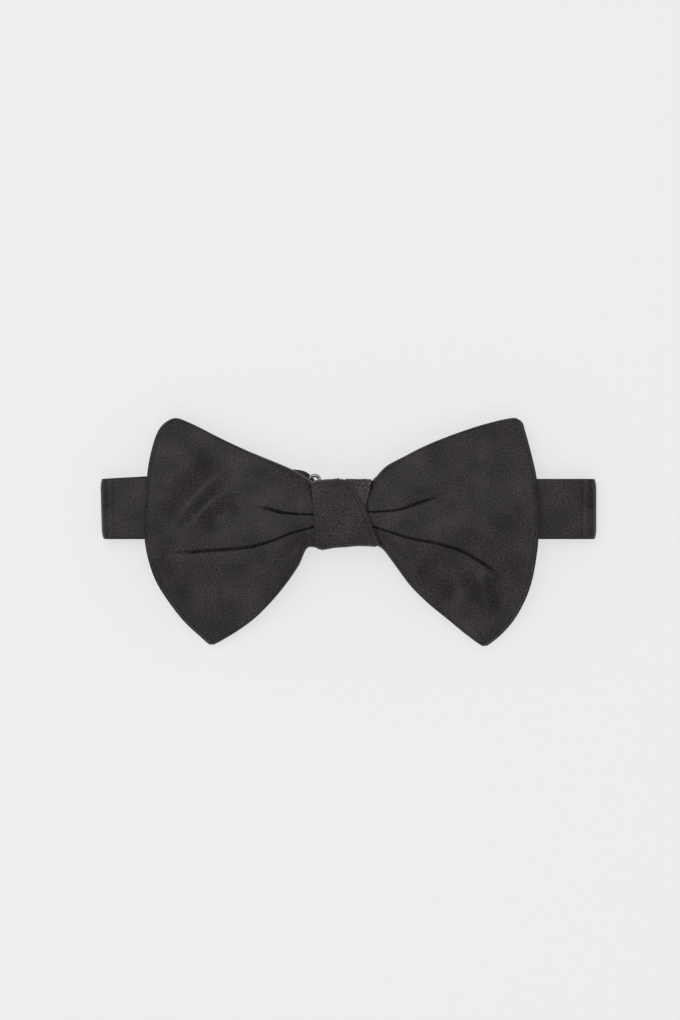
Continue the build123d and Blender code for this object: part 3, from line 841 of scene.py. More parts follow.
@dataclass
class Wing:
    """One wing of the bow: a bag of two satin plies, sewn, turned and pressed, over interlining."""

    side: Side
    outline: Outline
    places: Places
    ridge_z: float = 11.6
    ridge_y: float = -2.3
    droop_r: float = 118.0
    waist_low_z: float = 8.4
    waist_rise: float = 3.4
    waist_x: float = 9.0
    open_x: float = 32.0
    roll: float = 0.7
    edge_roll: float = 0.35
    canvas_inset: float = 2.3
    front_roll: float = 1.0
    cloth_t: float = 0.35
    lining_t: float = 0.2
    back_depth: float = 1.75
    back_depth_waist: float = 0.75
    bend_from: float = 9.0
    bend_to: float = 16.0
    crowd_rows: float = 0.35
    crowd_cols: float = 0.55
    waist_edge_share: float = 0.6
    pieces: dict[str, bpy.types.Object] = field(default_factory=dict)

    def body(self) -> str:
        """The CAD body of this wing."""
        return f"{self.side.name.lower()}_wing"

    def plan(self, rows: int, cols: int, inset: float, edge_inset: float) -> tuple[Array, Array, Array]:
        """Lay out the wing's grid in plan.

        Args:
            rows: samples from the waist outwards.
            cols: samples from the lower edge to the upper edge.
            inset: how far the outer edge is drawn in.
            edge_inset: how far the lower and upper edges are drawn in.

        Returns:
            x and y from the knot's centre, each rows by cols, and the outline's samples.
        """
        u, across = crowded(self.crowd_rows), crowded(self.crowd_cols)
        lower = through(self.outline.lower, rows, u)
        upper = through(self.outline.upper, rows, u)
        outer = through(self.outline.outer, cols, across)
        v = across(np.linspace(0, 1, cols))
        waist = lower[0] + (upper[0] - lower[0]) * v[:, None]
        s = u(np.linspace(0, 1, rows))[:, None, None]
        t = v[None, :, None]
        grid = (1 - t) * lower[:, None] + t * upper[:, None] + (1 - s) * waist[None] + s * outer[None]
        grid = grid - ((1 - s) * (1 - t) * lower[0] + s * (1 - t) * lower[-1]
                       + (1 - s) * t * upper[0] + s * t * upper[-1])
        grid = np.stack([self.trimmed(line, edge_inset, edge_inset) for line in grid])
        grid = np.stack([self.trimmed(line, 0.0, inset) for line in grid.transpose(1, 0, 2)], 1)
        edge = np.vstack([grid[:, 0], grid[-1], grid[::-1, -1]])
        return grid[..., 0], grid[..., 1], edge

    @staticmethod
    def trimmed(line: Array, first: float, last: float) -> Array:
        """A line of samples shortened at its two ends, with as many samples as before."""
        run = lengths(line)
        return resampled(line, run, first + run * (run[-1] - first - last) / run[-1])

    def surface(self, x: Array, y: Array, share: Array, relief: float = 1.0, loose: float = 0.0) -> Array:
        """Height of the wing's front at x, y from the knot's centre.

        Args:
            x: distance from the knot's centre along the band.
            y: distance above the band's centre line.
            share: share of the way from the lower edge to the upper edge.
            relief: how much of the creases shows.
            loose: how much wider the ply bridges them.

        Returns:
            Height in millimetres.
        """
        # Near the knot the cloth lies on the gathered bundle, further out it droops from a ridge.
        drooping = self.ridge_z - (y - self.ridge_y) ** 2 / (2 * self.droop_r)
        bundle = self.waist_low_z + self.waist_rise * np.sqrt(np.clip(1 - (2 * share - 1) ** 2, 0, 1))
        spread = smooth(np.abs(x), self.waist_x, self.open_x)
        height = (1 - spread) * bundle + spread * drooping
        for crease in self.outline.creases:
            height = height + relief * crease.height(x, y, loose)
        # Broad, shallow waves that pressed cloth always has.
        ripple = 0.10 * np.sin(x * 0.21 + y * 0.13) + 0.08 * np.sin(y * 0.33 - x * 0.11 + 1.3)
        return height + relief * ripple * spread

    @staticmethod
    def to_edge(x: Array, y: Array, edge: Array, at_once: int = 4000) -> Array:
        """Distance of each place to the nearest sample of the outline."""
        flat = np.stack([x.reshape(-1), y.reshape(-1)], 1)
        nearest = np.empty(len(flat))
        for start in range(0, len(flat), at_once):
            part = flat[start : start + at_once]
            gaps = part[:, None, :] - edge[None, :, :]
            nearest[start : start + at_once] = np.sqrt((gaps**2).sum(-1).min(1))
        return nearest.reshape(x.shape)

    @staticmethod
    def dense(edge: Array, step: float = 0.12) -> Array:
        """The outline sampled so finely that its nearest sample is its nearest point."""
        run = lengths(edge)
        return resampled(edge, run, np.arange(0, run[-1], step))

    def ply(self, name: str, rows: int, cols: int, insets: Point, depth: float, waist_depth: float,
            roll: float, thickness: float, relief: float, loose: float = 0.0) -> bpy.types.Object:
        """Make one ply of the wing.

        Args:
            name: the piece's name.
            rows: samples from the waist outwards.
            cols: samples from the lower edge to the upper edge.
            insets: how far its outer edge, and its lower and upper edges, are drawn in.
            depth: how far it lies below the wing's front.
            waist_depth: the same at the waist.
            roll: radius of its turned edge, 0 for a cut edge.
            thickness: thickness of its cloth.
            relief: how much of the creases it shows.
            loose: how much wider than the front ply it bridges the pleats.

        Returns:
            The ply, closed, in place.
        """
        x, y, edge = self.plan(rows, cols, *insets)
        share = crowded(self.crowd_cols)(np.linspace(0, 1, cols))[None, :] * np.ones((rows, 1))
        z = self.surface(x, y, share, relief, loose)
        spread = smooth(np.abs(x), self.waist_x, self.open_x * 0.7)
        z = z - (waist_depth + (depth - waist_depth) * spread)
        if roll:
            gap = np.clip(self.to_edge(x, y, self.dense(edge)), 0, roll)
            drop = roll - np.sqrt(roll**2 - (roll - gap) ** 2)
            z = z - drop * (self.waist_edge_share + (1 - self.waist_edge_share) * spread)
        spots = np.stack([x + self.places.knot_x, y + self.places.strap_y, z], -1)
        piece = grid_piece(name, spots, np.stack([x, y], -1), flip=self.side is Side.LEFT)
        thicken(piece, thickness)
        self.pieces[name] = piece
        return piece

    def build(self) -> None:
        """Make the front ply, the interlining and the back ply."""
        word = self.side.name.lower()
        front, canvas, back = self.insets
        self.ply(f"{word}_wing_satin_front", rows=130, cols=350, insets=front, depth=0.0,
                 waist_depth=0.0, roll=self.front_roll, thickness=self.cloth_t, relief=1.0)
        self.ply(f"{word}_wing_canvas", rows=80, cols=140, insets=canvas, depth=0.62,
                 waist_depth=0.42, roll=0.0, thickness=self.lining_t, relief=1.0, loose=1.1)
        self.ply(f"{word}_wing_satin_back", rows=110, cols=170, insets=back, depth=self.back_depth,
                 waist_depth=self.back_depth_waist, roll=self.roll, thickness=self.cloth_t,
                 relief=0.75, loose=0.6)

    @property
    def insets(self) -> tuple[Point, Point, Point]:
        """Insets of the front ply, the interlining and the back ply at the outer and other edges."""
        return (self.roll, 0.0), (self.canvas_inset, self.canvas_inset), (0.0, self.edge_roll)

    def area(self, insets: Point) -> float:
        """Flat area of a ply in square metres, from its outline."""
        _, _, edge = self.plan(40, 60, *insets)
        x, y = edge[:, 0], edge[:, 1]
        return abs(np.dot(x, np.roll(y, -1)) - np.dot(y, np.roll(x, -1))) / 2 * MM * MM

    def dress(self, wardrobe: Wardrobe) -> None:
        """Give the plies their finishes, bake them in place and hide the CAD nodes they stand for."""
        word = self.side.name.lower()
        stands_for = {"satin_front": "front", "canvas": "interlining", "satin_back": "back"}
        _, _, edge = self.plan(40, 60, 0.0, 0.0)
        for (kind, node), insets in zip(stands_for.items(), self.insets):
            piece = self.pieces[f"{word}_wing_{kind}"]
            lining = kind == "canvas"
            wardrobe.dress(piece, wardrobe.canvas if lining else wardrobe.satin,
                           "interlining" if lining else "satin")
            self.body()
            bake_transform(piece)
            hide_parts(f"{word}_wing_{node}")
            self.area(insets)


# ---------------------------------------------------------------- knot


def round_box(count: int, half_y: float, half_z: float, corner: float) -> tuple[Array, Array, Array]:
    """Samples round a box with round corners, even along it.

    Args:
        count: how many samples.
        half_y: half of its size along y.
        half_z: half of its size along z.
        corner: radius of its corners.

    Returns:
        The samples (y, z), their outward normals and their lengths along the box's edge.
    """
    corners = [(1, 1, 0), (-1, 1, pi / 2), (-1, -1, pi), (1, -1, 3 * pi / 2)]
    line = []
    for y, z, first in corners:
        for angle in np.linspace(first, first + pi / 2, 24):
            line.append((y * (half_y - corner) + corner * cos(angle),
                         z * (half_z - corner) + corner * sin(angle)))
    line.append(line[0])
    pts = np.array(line)
    run = lengths(pts)
    at = np.linspace(0, run[-1], count, endpoint=False)
    spots = resampled(pts, run, at)
    tangent = np.roll(spots, -1, 0) - np.roll(spots, 1, 0)
    normal = np.stack([tangent[:, 1], -tangent[:, 0]], 1)
    return spots, normal / np.linalg.norm(normal, axis=1)[:, None], at


@dataclass
class Knot:
    """The bow's centre: a strip wound round the gathered waist and the band, and tacked behind."""

    places: Places
    top: float = 10.1
    bottom: float = -13.3
    back_z: float = 4.7
    front_z: float = 14.5
    corner: float = 3.5
    wrap_t: float = 0.8
    turn_t: float = 0.4
    under_sinks: Point = (1.5, 0.85)
    crown: float = 0.7
    hem: float = 1.1
    hem_width: float = 0.32
    edge_drop: float = 0.3
    edge_reach: float = 1.8
    edge_slope: float = 0.9
    wave: float = 0.07
    waist_reach: float = 8.4
    waist_half_y: float = 8.2
    waist_half_z: float = 2.1
    waist_mid_z: float = 9.55
    thread_t: float = 0.3
    pieces: dict[str, bpy.types.Object] = field(default_factory=dict)

    upper_edge: tuple[Point, ...] = ((-13, 9.2), (-10.4, 9.35), (-7, 9.6), (-1, 10.15), (3, 10.0),
                                     (10.5, 10.2), (13, 10.2))
    lower_edge: tuple[Point, ...] = ((-13, -12.2), (-11.2, -12.6), (-7.4, -13.6), (-2, -12.9),
                                     (3.1, -12.4), (9, -12.3), (13, -12.7))
    left_edge: tuple[Point, ...] = ((-13.5, -8.2), (-12.4, -8.5), (-9.7, -8.8), (-5.8, -9.15),
                                    (-2, -9.25), (3.3, -9.7), (9.3, -10.4), (10.5, -10.5))
    right_edge: tuple[Point, ...] = ((-13.5, 12.9), (-12.6, 12.75), (-11.4, 12.3), (-6.1, 10.2),
                                     (-2.3, 8.7), (0.8, 7.4), (3.9, 5.6), (6.9, 3.8), (9.8, 0.6),
                                     (10.5, 0.2))
    under_upper: tuple[Point, ...] = ((-13, 10.5), (0.2, 10.5), (1.0, 11.4), (4.0, 11.45),
                                      (10.5, 11.55), (13, 11.5))
    under_left: tuple[Point, ...] = ((-13.5, -5.5), (10.6, -5.5))
    under_edge: tuple[Point, ...] = ((-13.5, 9.0), (-6, 7.6), (-1, 7.2), (1.8, 7.9), (4.4, 8.7),
                                     (6.4, 9.2), (8.7, 9.8), (10.2, 10.5), (10.6, 10.6))

    def strip(self, name: str, left: tuple[Point, ...], right: tuple[Point, ...], sinks: Point,
              wall: float, creases: Sequence[Crease], hems: Point, upper: tuple[Point, ...],
              rows: int, across: int) -> None:
        """Wind one strip round the knot.

        Args:
            name: the piece's name.
            left: the strip's left edge, as (height, place along the band) from the knot's centre.
            right: its right edge, in the same way.
            sinks: how far it lies inside the knot's outer face in front and behind.
            wall: its thickness.
            creases: lines pressed into its front.
            hems: depths of the lines pressed beside its left and right edges.
            upper: its upper edge, as (place along the band, height) from the knot's centre.
            rows: samples round the knot.
            across: samples across the strip.
        """
        sink, floor = sinks
        roll = wall / 2
        half_y = (self.top - self.bottom) / 2 - sink
        half_z = (self.front_z - self.back_z - sink - floor) / 2
        mid_y = (self.top + self.bottom) / 2
        mid_z = (self.front_z + self.back_z - sink + floor) / 2
        ring, normal, run = round_box(rows, half_y - roll, half_z - roll,
                                      self.corner - roll - sink * 0.5)
        y0 = ring[:, 0] + mid_y
        lows, highs = np.interp(y0, *zip(*left))[:, None], np.interp(y0, *zip(*right))[:, None]
        turn = np.linspace(0, pi, 9)[1:-1]
        x_out = lows + roll + (highs - lows - 2 * roll) * np.linspace(0, 1, across)
        x = np.concatenate([x_out, highs - roll + roll * np.sin(turn), x_out[:, ::-1],
                            lows + roll - roll * np.sin(turn)], 1)
        through_ = np.concatenate([np.full(across, roll), roll * np.cos(turn),
                                   np.full(across, -roll), -roll * np.cos(turn)])
        through_ = through_[None] * np.ones((rows, 1))
        from_left, from_right = x - lows, highs - x
        outside = smooth(through_, -roll * 0.4, roll)
        relief = -hems[0] * np.exp(-(((from_left - self.hem) / self.hem_width) ** 2))
        relief = relief - hems[1] * np.exp(
            -(((from_right * self.edge_slope - self.hem) / self.hem_width) ** 2))
        relief = relief - self.edge_drop * (
            1 - smooth(np.minimum(from_left, from_right), 0, self.edge_reach))
        spot_y = y0[:, None] + np.zeros_like(x)
        front = smooth(ring[:, 1], half_z * 0.3, half_z * 0.8)[:, None]
        for crease in creases:
            relief = relief + crease.height(x, spot_y) * front
        relief = relief + self.wave * np.sin(x * 0.8 + run[:, None] * 0.25) * outside
        off = through_ + relief * (0.4 + 0.6 * outside)
        ny, nz = normal[:, 0][:, None], normal[:, 1][:, None]
        tops = np.interp(x, *zip(*upper)) - self.top
        lows_y = np.interp(x, *zip(*self.lower_edge)) - self.bottom
        y = spot_y + ny * off + np.where(ny > 0, tops, lows_y) * ny**2
        z = mid_z + ring[:, 1][:, None] + nz * off
        z = z - self.crown * ((ring[:, 0] / half_y) ** 2)[:, None] * np.clip(nz, 0, 1) ** 2
        self.ring(name, x, y, z, run)

    def ring(self, name: str, x: Array, y: Array, z: Array, run: Array) -> None:
        """Make and keep a piece from places from the knot's centre and the lengths round it."""
        places = np.stack([x + self.places.knot_x, y + self.places.strap_y, z], -1)
        cloth = np.stack([x, run[:, None] + np.zeros_like(x)], -1)
        self.pieces[name] = ring_piece(name, places, cloth)

    def sleeve(self, name: str, low_x: float, high_x: float, half_y: float, half_z: float,
               mid_z: float, wall: float, ripple: Callable[[Array, Array], Array],
               rows: int = 120, across: int = 30) -> None:
        """Make a sleeve round the waist, hidden inside the knot.

        Args:
            name: the piece's name.
            low_x: its left end from the knot's centre.
            high_x: its right end.
            half_y: half of its height across the band.
            half_z: half of its depth.
            mid_z: height of its middle.
            wall: thickness of its wall.
            ripple: height added at places (round, along).
            rows: samples round it.
            across: samples along it.
        """
        ring, normal, run = round_box(rows, half_y, half_z, min(half_y, half_z) * 0.75)
        t = np.linspace(low_x, high_x, across)
        x = np.concatenate([t, t[::-1]])[None] * np.ones((rows, 1))
        out = np.concatenate([np.zeros(across), np.full(across, -wall)])[None] * np.ones((rows, 1))
        off = out + ripple(run[:, None] / run[-1] * 2 * pi, x)
        y = ring[:, 0][:, None] + normal[:, 0][:, None] * off + (self.top + self.bottom) / 2
        z = ring[:, 1][:, None] + normal[:, 1][:, None] * off + mid_z
        self.ring(name, x, y, z, run)

    def build(self) -> None:
        """Make the wound strip, its first turn, and the waist, lining and thread inside."""
        pressed = [
            Crease(((-7.9, 10.5), (-7.5, 8), (-6.9, 5.0)), depth=0.3, width=0.35, fade=(0.0, 0.5)),
            Crease(((2.5, 8.0), (0, 2), (1.5, -6)), depth=-0.15, width=2.6),
            Crease(((-6, -4), (-3, -9), (-4, -13)), depth=0.15, width=1.6),
        ]
        self.strip("knot_wrap_satin", self.left_edge, self.right_edge, sinks=(0.0, 0.0),
                   wall=self.wrap_t, creases=pressed, hems=(0.2, 0.26), upper=self.upper_edge,
                   rows=240, across=46)
        self.strip("knot_first_turn_satin", self.under_left, self.under_edge,
                   sinks=self.under_sinks, wall=self.turn_t, creases=[], hems=(0.0, 0.15),
                   upper=self.under_upper, rows=200, across=40)
        waist = {"half_y": self.waist_half_y, "half_z": self.waist_half_z,
                 "mid_z": self.waist_mid_z}
        self.sleeve("gathered_waist_bundle", -self.waist_reach, self.waist_reach, wall=2.0,
                    ripple=lambda a, x: 0.18 * np.sin(11 * a) * np.cos(x / self.waist_reach * 1.2)
                    - 0.5 * np.exp(-((x / 1.8) ** 2)), **waist)
        self.sleeve("waist_thread", low_x=-1.45, high_x=1.45, wall=0.25, across=60,
                    ripple=lambda a, x: 0.12 * np.abs(
                        np.sin(x / self.thread_t * pi / 2 + a / 4)) - 0.15, **waist)
        self.sleeve("knot_canvas", low_x=-7.6, high_x=6.8, half_y=8.8, half_z=2.72, mid_z=9.63,
                    wall=0.3, ripple=lambda a, x: 0.04 * np.sin(7 * a + x), rows=100, across=24)

    def dress(self, wardrobe: Wardrobe) -> None:
        """Give the knot's pieces their finishes and their body, and hide the CAD nodes they stand for."""
        around = 2 * (self.top - self.bottom + self.front_z - self.back_z) * MM
        rows = (
            ("knot_wrap_satin", wardrobe.knot_satin, "knot_satin", "knot_wrap", (0.0205, around)),
            ("knot_first_turn_satin", wardrobe.bias_satin_painted_sheen, "knot_satin", "knot_under_wrap",
             (0.0142, 0.062)),
            ("gathered_waist_bundle", wardrobe.satin, "satin", "gathered_waist", (0.0168, 0.039)),
            ("waist_thread", wardrobe.thread, "thread", "waist_binding", None),
            ("knot_canvas", wardrobe.canvas, "interlining", "knot_interlining", (0.0152, 0.048)),
        )
        for name, finish, slot, node, flat in rows:
            piece = self.pieces[name]
            wardrobe.dress(piece, finish, slot)
            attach(piece, "bow")
            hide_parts(node)


# ---------------------------------------------------------------- neckband


@dataclass
class FoldedBand:
    """Half of the neckband: its front run, the fold at its side and the start of its rear run.

    The cloth isn't stretched: the part beyond the fold line goes round half a turn and lies back,
    and because the fold line leans, the rear run climbs at twice that lean.
    """

    side: Side
    places: Places
    lean_deg: float
    rear_reach: float
    neck_half: float = 7.5
    neck_shift: float = -1.6
    neck_reach: float = 8.5
    full_reach: float = 15.5
    soft_corner: float = 0.14
    soft_from: float = 7.2
    soft_to: float = 10.4
    pressed_line: float = 1.2
    pressed_depth: float = 0.16
    pressed_width: float = 0.45
    fine_step: float = 0.3
    coarse_step: float = 1.5

    @property
    def name(self) -> str:
        """The side's word, left or right."""
        return self.side.name.lower()

    @property
    def fold_x(self) -> float:
        """Where the fold's centre line crosses the band's centre line."""
        return self.places.left_fold_x if self.side is Side.LEFT else self.places.right_fold_x

    @property
    def mid_r(self) -> float:
        """Radius of the fold at the middle of the cloth."""
        return self.places.fold_r - STRAP_T / 2

    @property
    def front_run(self) -> float:
        """Length of the front run from the knot's centre to the fold."""
        return abs(self.fold_x - self.places.knot_x)

    def lay(self, along: Array, width: Array, through_: Array) -> Array:
        """Fold flat cloth into place; along is 0 at the fold line and below 0 on the front run."""
        lean = radians(self.lean_deg)
        side = self.side.value
        inward = np.array([-side * cos(lean), sin(lean)])
        edge = np.array([-sin(lean), cos(lean)]) if side < 0 else np.array([sin(lean), cos(lean)])
        before = -along * cos(lean) + width * sin(lean)
        across = along * sin(lean) + width * cos(lean)
        past = np.clip(-before, 0, None)
        angle = np.clip(past / self.mid_r, 0, pi)
        radius = self.mid_r + through_
        soft = 1 - self.soft_corner * smooth(np.abs(width), self.soft_from, self.soft_to)
        beyond = np.clip(past - pi * self.mid_r, 0, None)
        pressed = self.pressed_depth * np.exp(
            -(((before - self.pressed_line) / self.pressed_width) ** 2))
        reach = np.where(before > 0, before, beyond) - radius * np.sin(angle) * soft
        height = self.places.fold_r + radius * np.cos(angle) - pressed * (before > -1)
        x = self.fold_x + reach * inward[0] + across * edge[0]
        y = self.places.strap_y + reach * inward[1] + across * edge[1]
        return np.stack([x, y, height], -1)

    def halves(self, stations: Array, inset: float) -> tuple[Array, Array]:
        """Half width and offset of the band at each station, narrow where the knot squeezes it."""
        from_knot = np.abs(stations + self.front_run)
        share = 1 - smooth(from_knot, self.neck_reach, self.full_reach)
        half = self.places.strap_w / 2
        return half + (self.neck_half - half) * share - inset, self.neck_shift * share

    def stations(self, inset: float) -> Array:
        """Stations along the band, close together round the fold."""
        turn = pi * self.mid_r
        end = turn + self.rear_reach - inset
        return np.concatenate([
            np.arange(-self.front_run + inset, -2.4, self.coarse_step),
            np.arange(-2.4, turn + 0.8, self.fine_step),
            np.append(np.arange(turn + 1.0, end - 0.6, self.coarse_step), end),
        ])

    def build(self) -> None:
        """Make the satin band and the canvas inside it."""
        for word, inset, thickness in (("satin", 0.0, STRAP_T), ("canvas", 0.8, 0.28)):
            stations = self.stations(inset * 0.5)
            half, shift = self.halves(stations, inset)
            swept(f"neckband_{self.name}_{word}", stations, half, shift, thickness, self.lay)

    def dress(self, wardrobe: Wardrobe, rear: str, nodes: dict[str, tuple[str, ...]]) -> None:
        """Finish both pieces.

        Args:
            wardrobe: the finishes.
            rear: the CAD body of the rear run; not used.
            nodes: the CAD nodes that each piece stands for.
        """
        for word in ("satin", "canvas"):
            piece = bpy.data.objects[f"neckband_{self.name}_{word}"]
            lining = word == "canvas"
            wardrobe.dress(piece, wardrobe.canvas if lining else wardrobe.satin,
                           "interlining" if lining else "satin")
            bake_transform(piece)
            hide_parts(*nodes[word])


@dataclass
class Clasp:
    """The neckband's ends: left end round the ring, right end round the hook, and the slider."""

    places: Places
    ply_gap: float = 0.06
    wire_d: float = 1.2
    wire_clear: float = 0.15
    loop_half: float = 6.5
    shoulder_shape: tuple[Point, ...] = ((0.0, 2.1), (0.4, 1.75), (1.0, 1.3), (2.2, 0.75),
                                         (4.0, 0.35), (6.5, 0.08), (8.0, 0.0))
    tail_len: float = 12.0
    ring_bar_reach: float = 10.4
    bar_w: float = 1.8
    weave_reach: float = 5.9
    rise: float = 1.5
    slot_w: float = 1.75
    weave_r: float = 0.62
    weave_step: float = 0.15
    join_run: float = 12.0
    stitch_w: float = 0.42
    stitch_pitch: float = 0.4
    stitches: int = 22
    stitch_len: float = 1.5
    stitch_lean: float = 9.0
    row_half: float = 4.4
    pieces: dict[str, bpy.types.Object] = field(default_factory=dict)

    @property
    def turn_r(self) -> float:
        """Radius of the cloth's middle round a wire."""
        return self.wire_d / 2 + self.wire_clear + STRAP_T / 2

    @property
    def bar_z(self) -> float:
        """Height of the wires' middle."""
        return STRAP_T + self.wire_clear + self.wire_d / 2

    @property
    def upper_z(self) -> float:
        """Height of the middle of a ply that lies on another."""
        return STRAP_T * 1.5 + self.ply_gap

    @property
    def bar_run(self) -> float:
        """Length of the left rear run from the fold to the ring's bar."""
        bar_x = self.places.knot_x - self.ring_bar_reach
        return (bar_x - self.places.left_fold_x) / cos(radians(REAR_TILT))

    @property
    def slider_x(self) -> float:
        """Middle of the slider."""
        low, high = Places.box("slider_frame")
        return float(low[0] + high[0]) / 2

    @property
    def hook_x(self) -> float:
        """Middle of the hook's bar."""
        return float(Places.box("hook")[1][0]) - self.wire_d / 2

    def round_bar(self, start: float, bar: float, tail: float, out: int) -> Array:
        """Line of a band that goes flat to a bar, round it and back over itself.

        Args:
            start: run at which it begins.
            bar: run of the bar.
            tail: run at which it ends.
            out: 1 if it goes towards +X, -1 if it goes towards -X.

        Returns:
            The line's samples (run, height).
        """
        turn, flat = self.turn_r, STRAP_T / 2
        top = self.bar_z + turn
        return rounded_line(
            [(start, flat), (bar + out * turn, flat), (bar + out * turn, top),
             (bar - out * turn, top), (bar - out * 3 * turn, self.upper_z), (tail, self.upper_z)],
            radius=[turn * 0.99, turn * 0.99, turn * 0.9, turn * 0.9], step=0.2)

    def build(self) -> None:
        """Make the band's ends, its woven runs and the stitches that hold them."""
        half = self.places.strap_w / 2
        line = self.round_bar(self.bar_run - self.join_run, self.bar_run,
                              self.bar_run - 3 * self.turn_r - self.tail_len, 1)
        self.keep("neckband_left_end", line, self.shouldered(line, half),
                  (self.places.left_fold_x, self.places.strap_y), REAR_TILT)
        line = self.round_bar(self.hook_x + 4 * self.turn_r, self.hook_x,
                              self.hook_x + 5 * self.turn_r, -1)
        widening = smooth(line[:, 0] - self.hook_x, 2.2, 4.4)
        self.keep("neckband_hook_end", line, self.loop_half + (half - self.loop_half) * widening)
        flat, over = STRAP_T / 2, self.over_z
        bridge = over + STRAP_T + self.ply_gap
        x, weave, rise = self.slider_x, self.weave_reach, self.rise
        slot = self.bar_w / 2 + self.slot_w
        side = self.bar_w / 2 + self.ply_gap + STRAP_T / 2
        running, returning = Places.box("right_running_ply"), Places.box("right_return_ply")
        near, far = float(running[0][0]), float(running[1][0])
        back_near, back_far = float(returning[0][0]), float(returning[1][0])
        runs_ = (
            ("neckband_running_outer", self.weave_r, self.weave_step,
             [(far, flat), (x + weave + rise, flat), (x + weave + rise * 0.27, over),
              (x + slot, over), (x + slot - 0.2, flat), (x, flat)]),
            ("neckband_running_inner", self.weave_r, self.weave_step,
             [(x, flat), (x - slot + 0.2, flat), (x - slot, over),
              (x - weave - rise * 0.27, over), (x - weave - rise, flat), (near, flat)]),
            ("neckband_return", 0.9, self.weave_step,
             [(back_far, bridge), (x - weave - rise * 0.5, bridge),
              (x - weave - rise * 1.85, self.upper_z), (back_near, self.upper_z)]),
            ("neckband_slider_loop", 0.5, 0.12,
             [(back_far + 0.02, bridge), (x - side + 0.7, over + 0.15), (x + side, over),
              (x + side, self.upper_z), (x - side, self.upper_z), (x - side, over - 0.75)]),
        )
        for name, radius, step, corners in runs_:
            self.keep(name, rounded_line(corners, radius, step), half)
        self.sew()

    @property
    def over_z(self) -> float:
        """Height of the middle of the ply that passes over the slider's outer bars."""
        low, high = Places.box("slider_frame")
        return float(high[2]) + self.ply_gap + STRAP_T / 2

    def shouldered(self, line: Array, half: float) -> Array:
        """Half widths along the left end: full, round shoulders before the bar, then narrow."""
        shoulder = self.bar_run + self.wire_clear / 2
        rising = np.argmax(line[:, 1] > STRAP_T)
        lower = (np.arange(len(line)) < rising) & (line[:, 0] < shoulder)
        curved = half - np.interp(shoulder - line[:, 0], *zip(*self.shoulder_shape))
        return np.where(lower, curved, self.loop_half)

    def keep(self, name: str, line: Array, halves: float | Array, origin: Point | None = None,
             turn: float = 0.0) -> None:
        """Make a ribbon, from run 0 at x = 0 unless origin says otherwise, and remember it."""
        origin = origin or (0, self.places.strap_y)
        self.pieces[name] = ribbon(name, line, halves, origin, turn)

    def stitch(self, length: float) -> bpy.types.Object:
        """Model one stitch along X: a bar of thread whose ends dip into the cloth."""
        deselect()
        bpy.ops.mesh.primitive_cylinder_add(vertices=10, radius=self.stitch_w / 2 * MM,
                                            depth=length * MM, rotation=(0, radians(90), 0))
        piece = bpy.context.object
        bpy.ops.object.transform_apply(location=False, rotation=True, scale=False)
        bpy.ops.object.mode_set(mode="EDIT")
        for share in (-0.42, -0.3, -0.1, 0.1, 0.3, 0.42):
            bpy.ops.mesh.select_all(action="SELECT")
            bpy.ops.mesh.bisect(plane_co=(length * share * MM, 0, 0), plane_no=(1, 0, 0))
        for limit, size, dip in ((0.36, 0.85, 0.3), (0.46, 0.6, 0.5)):
            bpy.ops.object.mode_set(mode="OBJECT")
            for side in (-1, 1):
                for vertex in piece.data.vertices:
                    vertex.select = vertex.co.x * side > length * limit * MM
                bpy.context.tool_settings.mesh_select_mode = (True, False, False)
                bpy.ops.object.mode_set(mode="EDIT")
                bpy.ops.transform.resize(value=(1, size, size))
                bpy.ops.transform.translate(value=(0, 0, -dip * self.stitch_w * 0.5 * MM))
                bpy.ops.object.mode_set(mode="OBJECT")
        bpy.ops.object.shade_smooth()
        deselect()
        return piece

    def sewn(self, name: str, length: float, spots: Sequence[tuple[float, float, float, float]]) -> None:
        """Copy one stitch to every spot and join the copies.

        Args:
            name: the joined piece's name.
            length: length of one stitch.
            spots: x, y, z in millimetres and turn in degrees of each.
        """
        first = self.stitch(length)
        copies = []
        for x, y, z, turn in spots:
            copy = bpy.data.objects.new(name, first.data.copy())
            bpy.context.collection.objects.link(copy)
            copy.rotation_euler = (0, 0, radians(turn))
            copy.location = (x * MM, y * MM, z * MM)
            copies.append(copy)
        bpy.data.objects.remove(first)
        deselect()
        for copy in copies:
            copy.select_set(True)
        bpy.context.view_layer.objects.active = copies[0]
        bpy.ops.object.transform_apply(location=True, rotation=True, scale=True)
        bpy.ops.object.join()
        joined = bpy.context.object
        joined.name = name
        deselect()
        self.pieces[name] = joined
        LOG.info("%s: %d faces", name, len(joined.data.polygons))

    def sew(self) -> None:
        """Make the bar tacks at the left end and the slider, and the tacks behind the knot."""
        c, s = cos(radians(REAR_TILT)), sin(radians(REAR_TILT))
        top = self.upper_z + STRAP_T / 2 + self.stitch_w * 0.25
        row = [(-self.row_half + i * self.stitch_pitch, self.stitch_lean if i % 2 else -self.stitch_lean)
               for i in range(self.stitches)]
        left_x, y = self.places.left_fold_x, self.places.strap_y
        ends = (self.bar_run - 3 * self.turn_r - self.stitch_len,
                self.bar_run - self.tail_len - self.stitch_len)
        self.sewn("left_end_tacks", self.stitch_len, [
            (left_x + run * c - across * s, y + run * s + across * c, top, REAR_TILT + lean)
            for run in ends for across, lean in row])
        x = self.slider_x - self.weave_reach - self.rise * 2.6
        self.sewn("slider_tack", self.stitch_len, [(x, y + across, top, lean) for across, lean in row])
        low, high = Places.box("knot_tacking")
        middle = (low + high) / 2
        self.sewn("knot_tacks", 2.7, [
            (middle[0] + i * 3.2, middle[1] + j * 3.5, high[2] - 0.05, 20 + 6 * i * j)
            for i in (-1, 0, 1) for j in (-1, 1)])

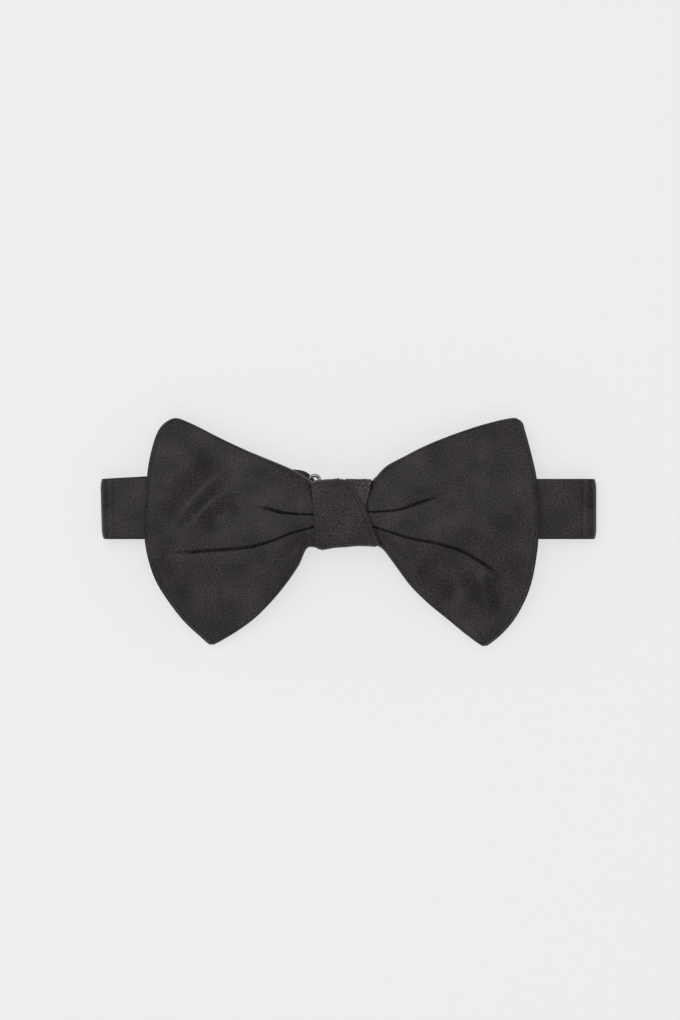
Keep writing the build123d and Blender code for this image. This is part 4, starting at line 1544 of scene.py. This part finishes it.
    def dress(self, wardrobe: Wardrobe) -> None:
        """Give the ends, the woven runs and the stitches their finishes; the ends and the stitches get their
        bodies and the woven runs are baked in place.
        """
        near = float(Places.box("hook_end_loop")[1][0])
        slider_low, slider_high = (float(corner[0]) for corner in Places.box("slider_frame"))
        far = float(Places.box("right_running_ply")[1][0])
        y, z = self.places.strap_y * MM, STRAP_T * MM
        weave = ((2 * near - slider_low) * MM, y, z), (slider_low * MM, y, z)
        outer = (far * MM, y, z), ((slider_high + self.rise + 0.6) * MM, y, z)
        rows = (
            ("neckband_left_end", "left_rear", None, "left_strap_rear", 30.0),
            ("neckband_hook_end", "hook_end", None, "hook_end_loop", 15.0),
            ("neckband_running_outer", None, outer, "right_running_ply", 47.0),
            ("neckband_running_inner", None, weave, "right_running_ply", 25.0),
            ("neckband_return", None, weave, "right_return_ply", 18.0),
            ("neckband_slider_loop", "slider", None, "slider_end_loop", 11.0),
        )
        for name, body, ends, node, length in rows:
            piece = self.pieces[name]
            wardrobe.dress(piece, wardrobe.satin, "satin")
            if body:
                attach(piece, body)
            else:
                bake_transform(piece)
            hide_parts(node)
        for name, body, node in (("left_end_tacks", "left_rear", "left_bar_tack"),
                                 ("slider_tack", "slider", "slider_bar_tack"),
                                 ("knot_tacks", "bow", "knot_tacking")):
            wardrobe.dress(self.pieces[name], wardrobe.thread, "thread")
            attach(self.pieces[name], body)
            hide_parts(node)


def main() -> None:
    """Build the tie in order: frame, studio, wings, knot, neckband, clasp, and report each piece."""
    logging.basicConfig(level=logging.INFO, format="%(name)s: %(message)s")
    for thing in list(bpy.data.objects):
        bpy.data.objects.remove(thing)
    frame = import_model()
    places = Places.read()
    wardrobe = Wardrobe()
    Studio(places).build()
    for side, outline in ((Side.LEFT, LEFT_OUTLINE), (Side.RIGHT, RIGHT_OUTLINE)):
        wing = Wing(side, outline, places)
        wing.build()
        wing.dress(wardrobe)
    knot = Knot(places)
    knot.build()
    knot.dress(wardrobe)
    clasp = Clasp(places)
    left = FoldedBand(Side.LEFT, places, lean_deg=LEFT_LEAN,
                      rear_reach=clasp.bar_run - clasp.join_run)
    join_x = float(Places.box("right_running_ply")[1][0])
    right = FoldedBand(Side.RIGHT, places, lean_deg=0.0, rear_reach=places.right_fold_x - join_x)
    left.build()
    right.build()
    left.dress(wardrobe, "left_rear", {
        "satin": ("strap_front", "left_strap_fold", "left_strap_rear"),
        "canvas": ("strap_front_interlining", "left_rear_interlining"),
    })
    right.dress(wardrobe, "right_rear", {
        "satin": ("strap_front", "right_strap_fold", "right_strap_rear"),
        "canvas": ("strap_front_interlining",),
    })
    clasp.build()
    clasp.dress(wardrobe)
    for node in ("ring", "hook", "slider_frame"):
        metal = frame["nodes"][node]
        metal.data.materials.clear()
        metal.data.materials.append(wardrobe.nickel)
        LOG.info("%s: nickel on the frame's own mesh", node)


if __name__ == "__main__":
    main()
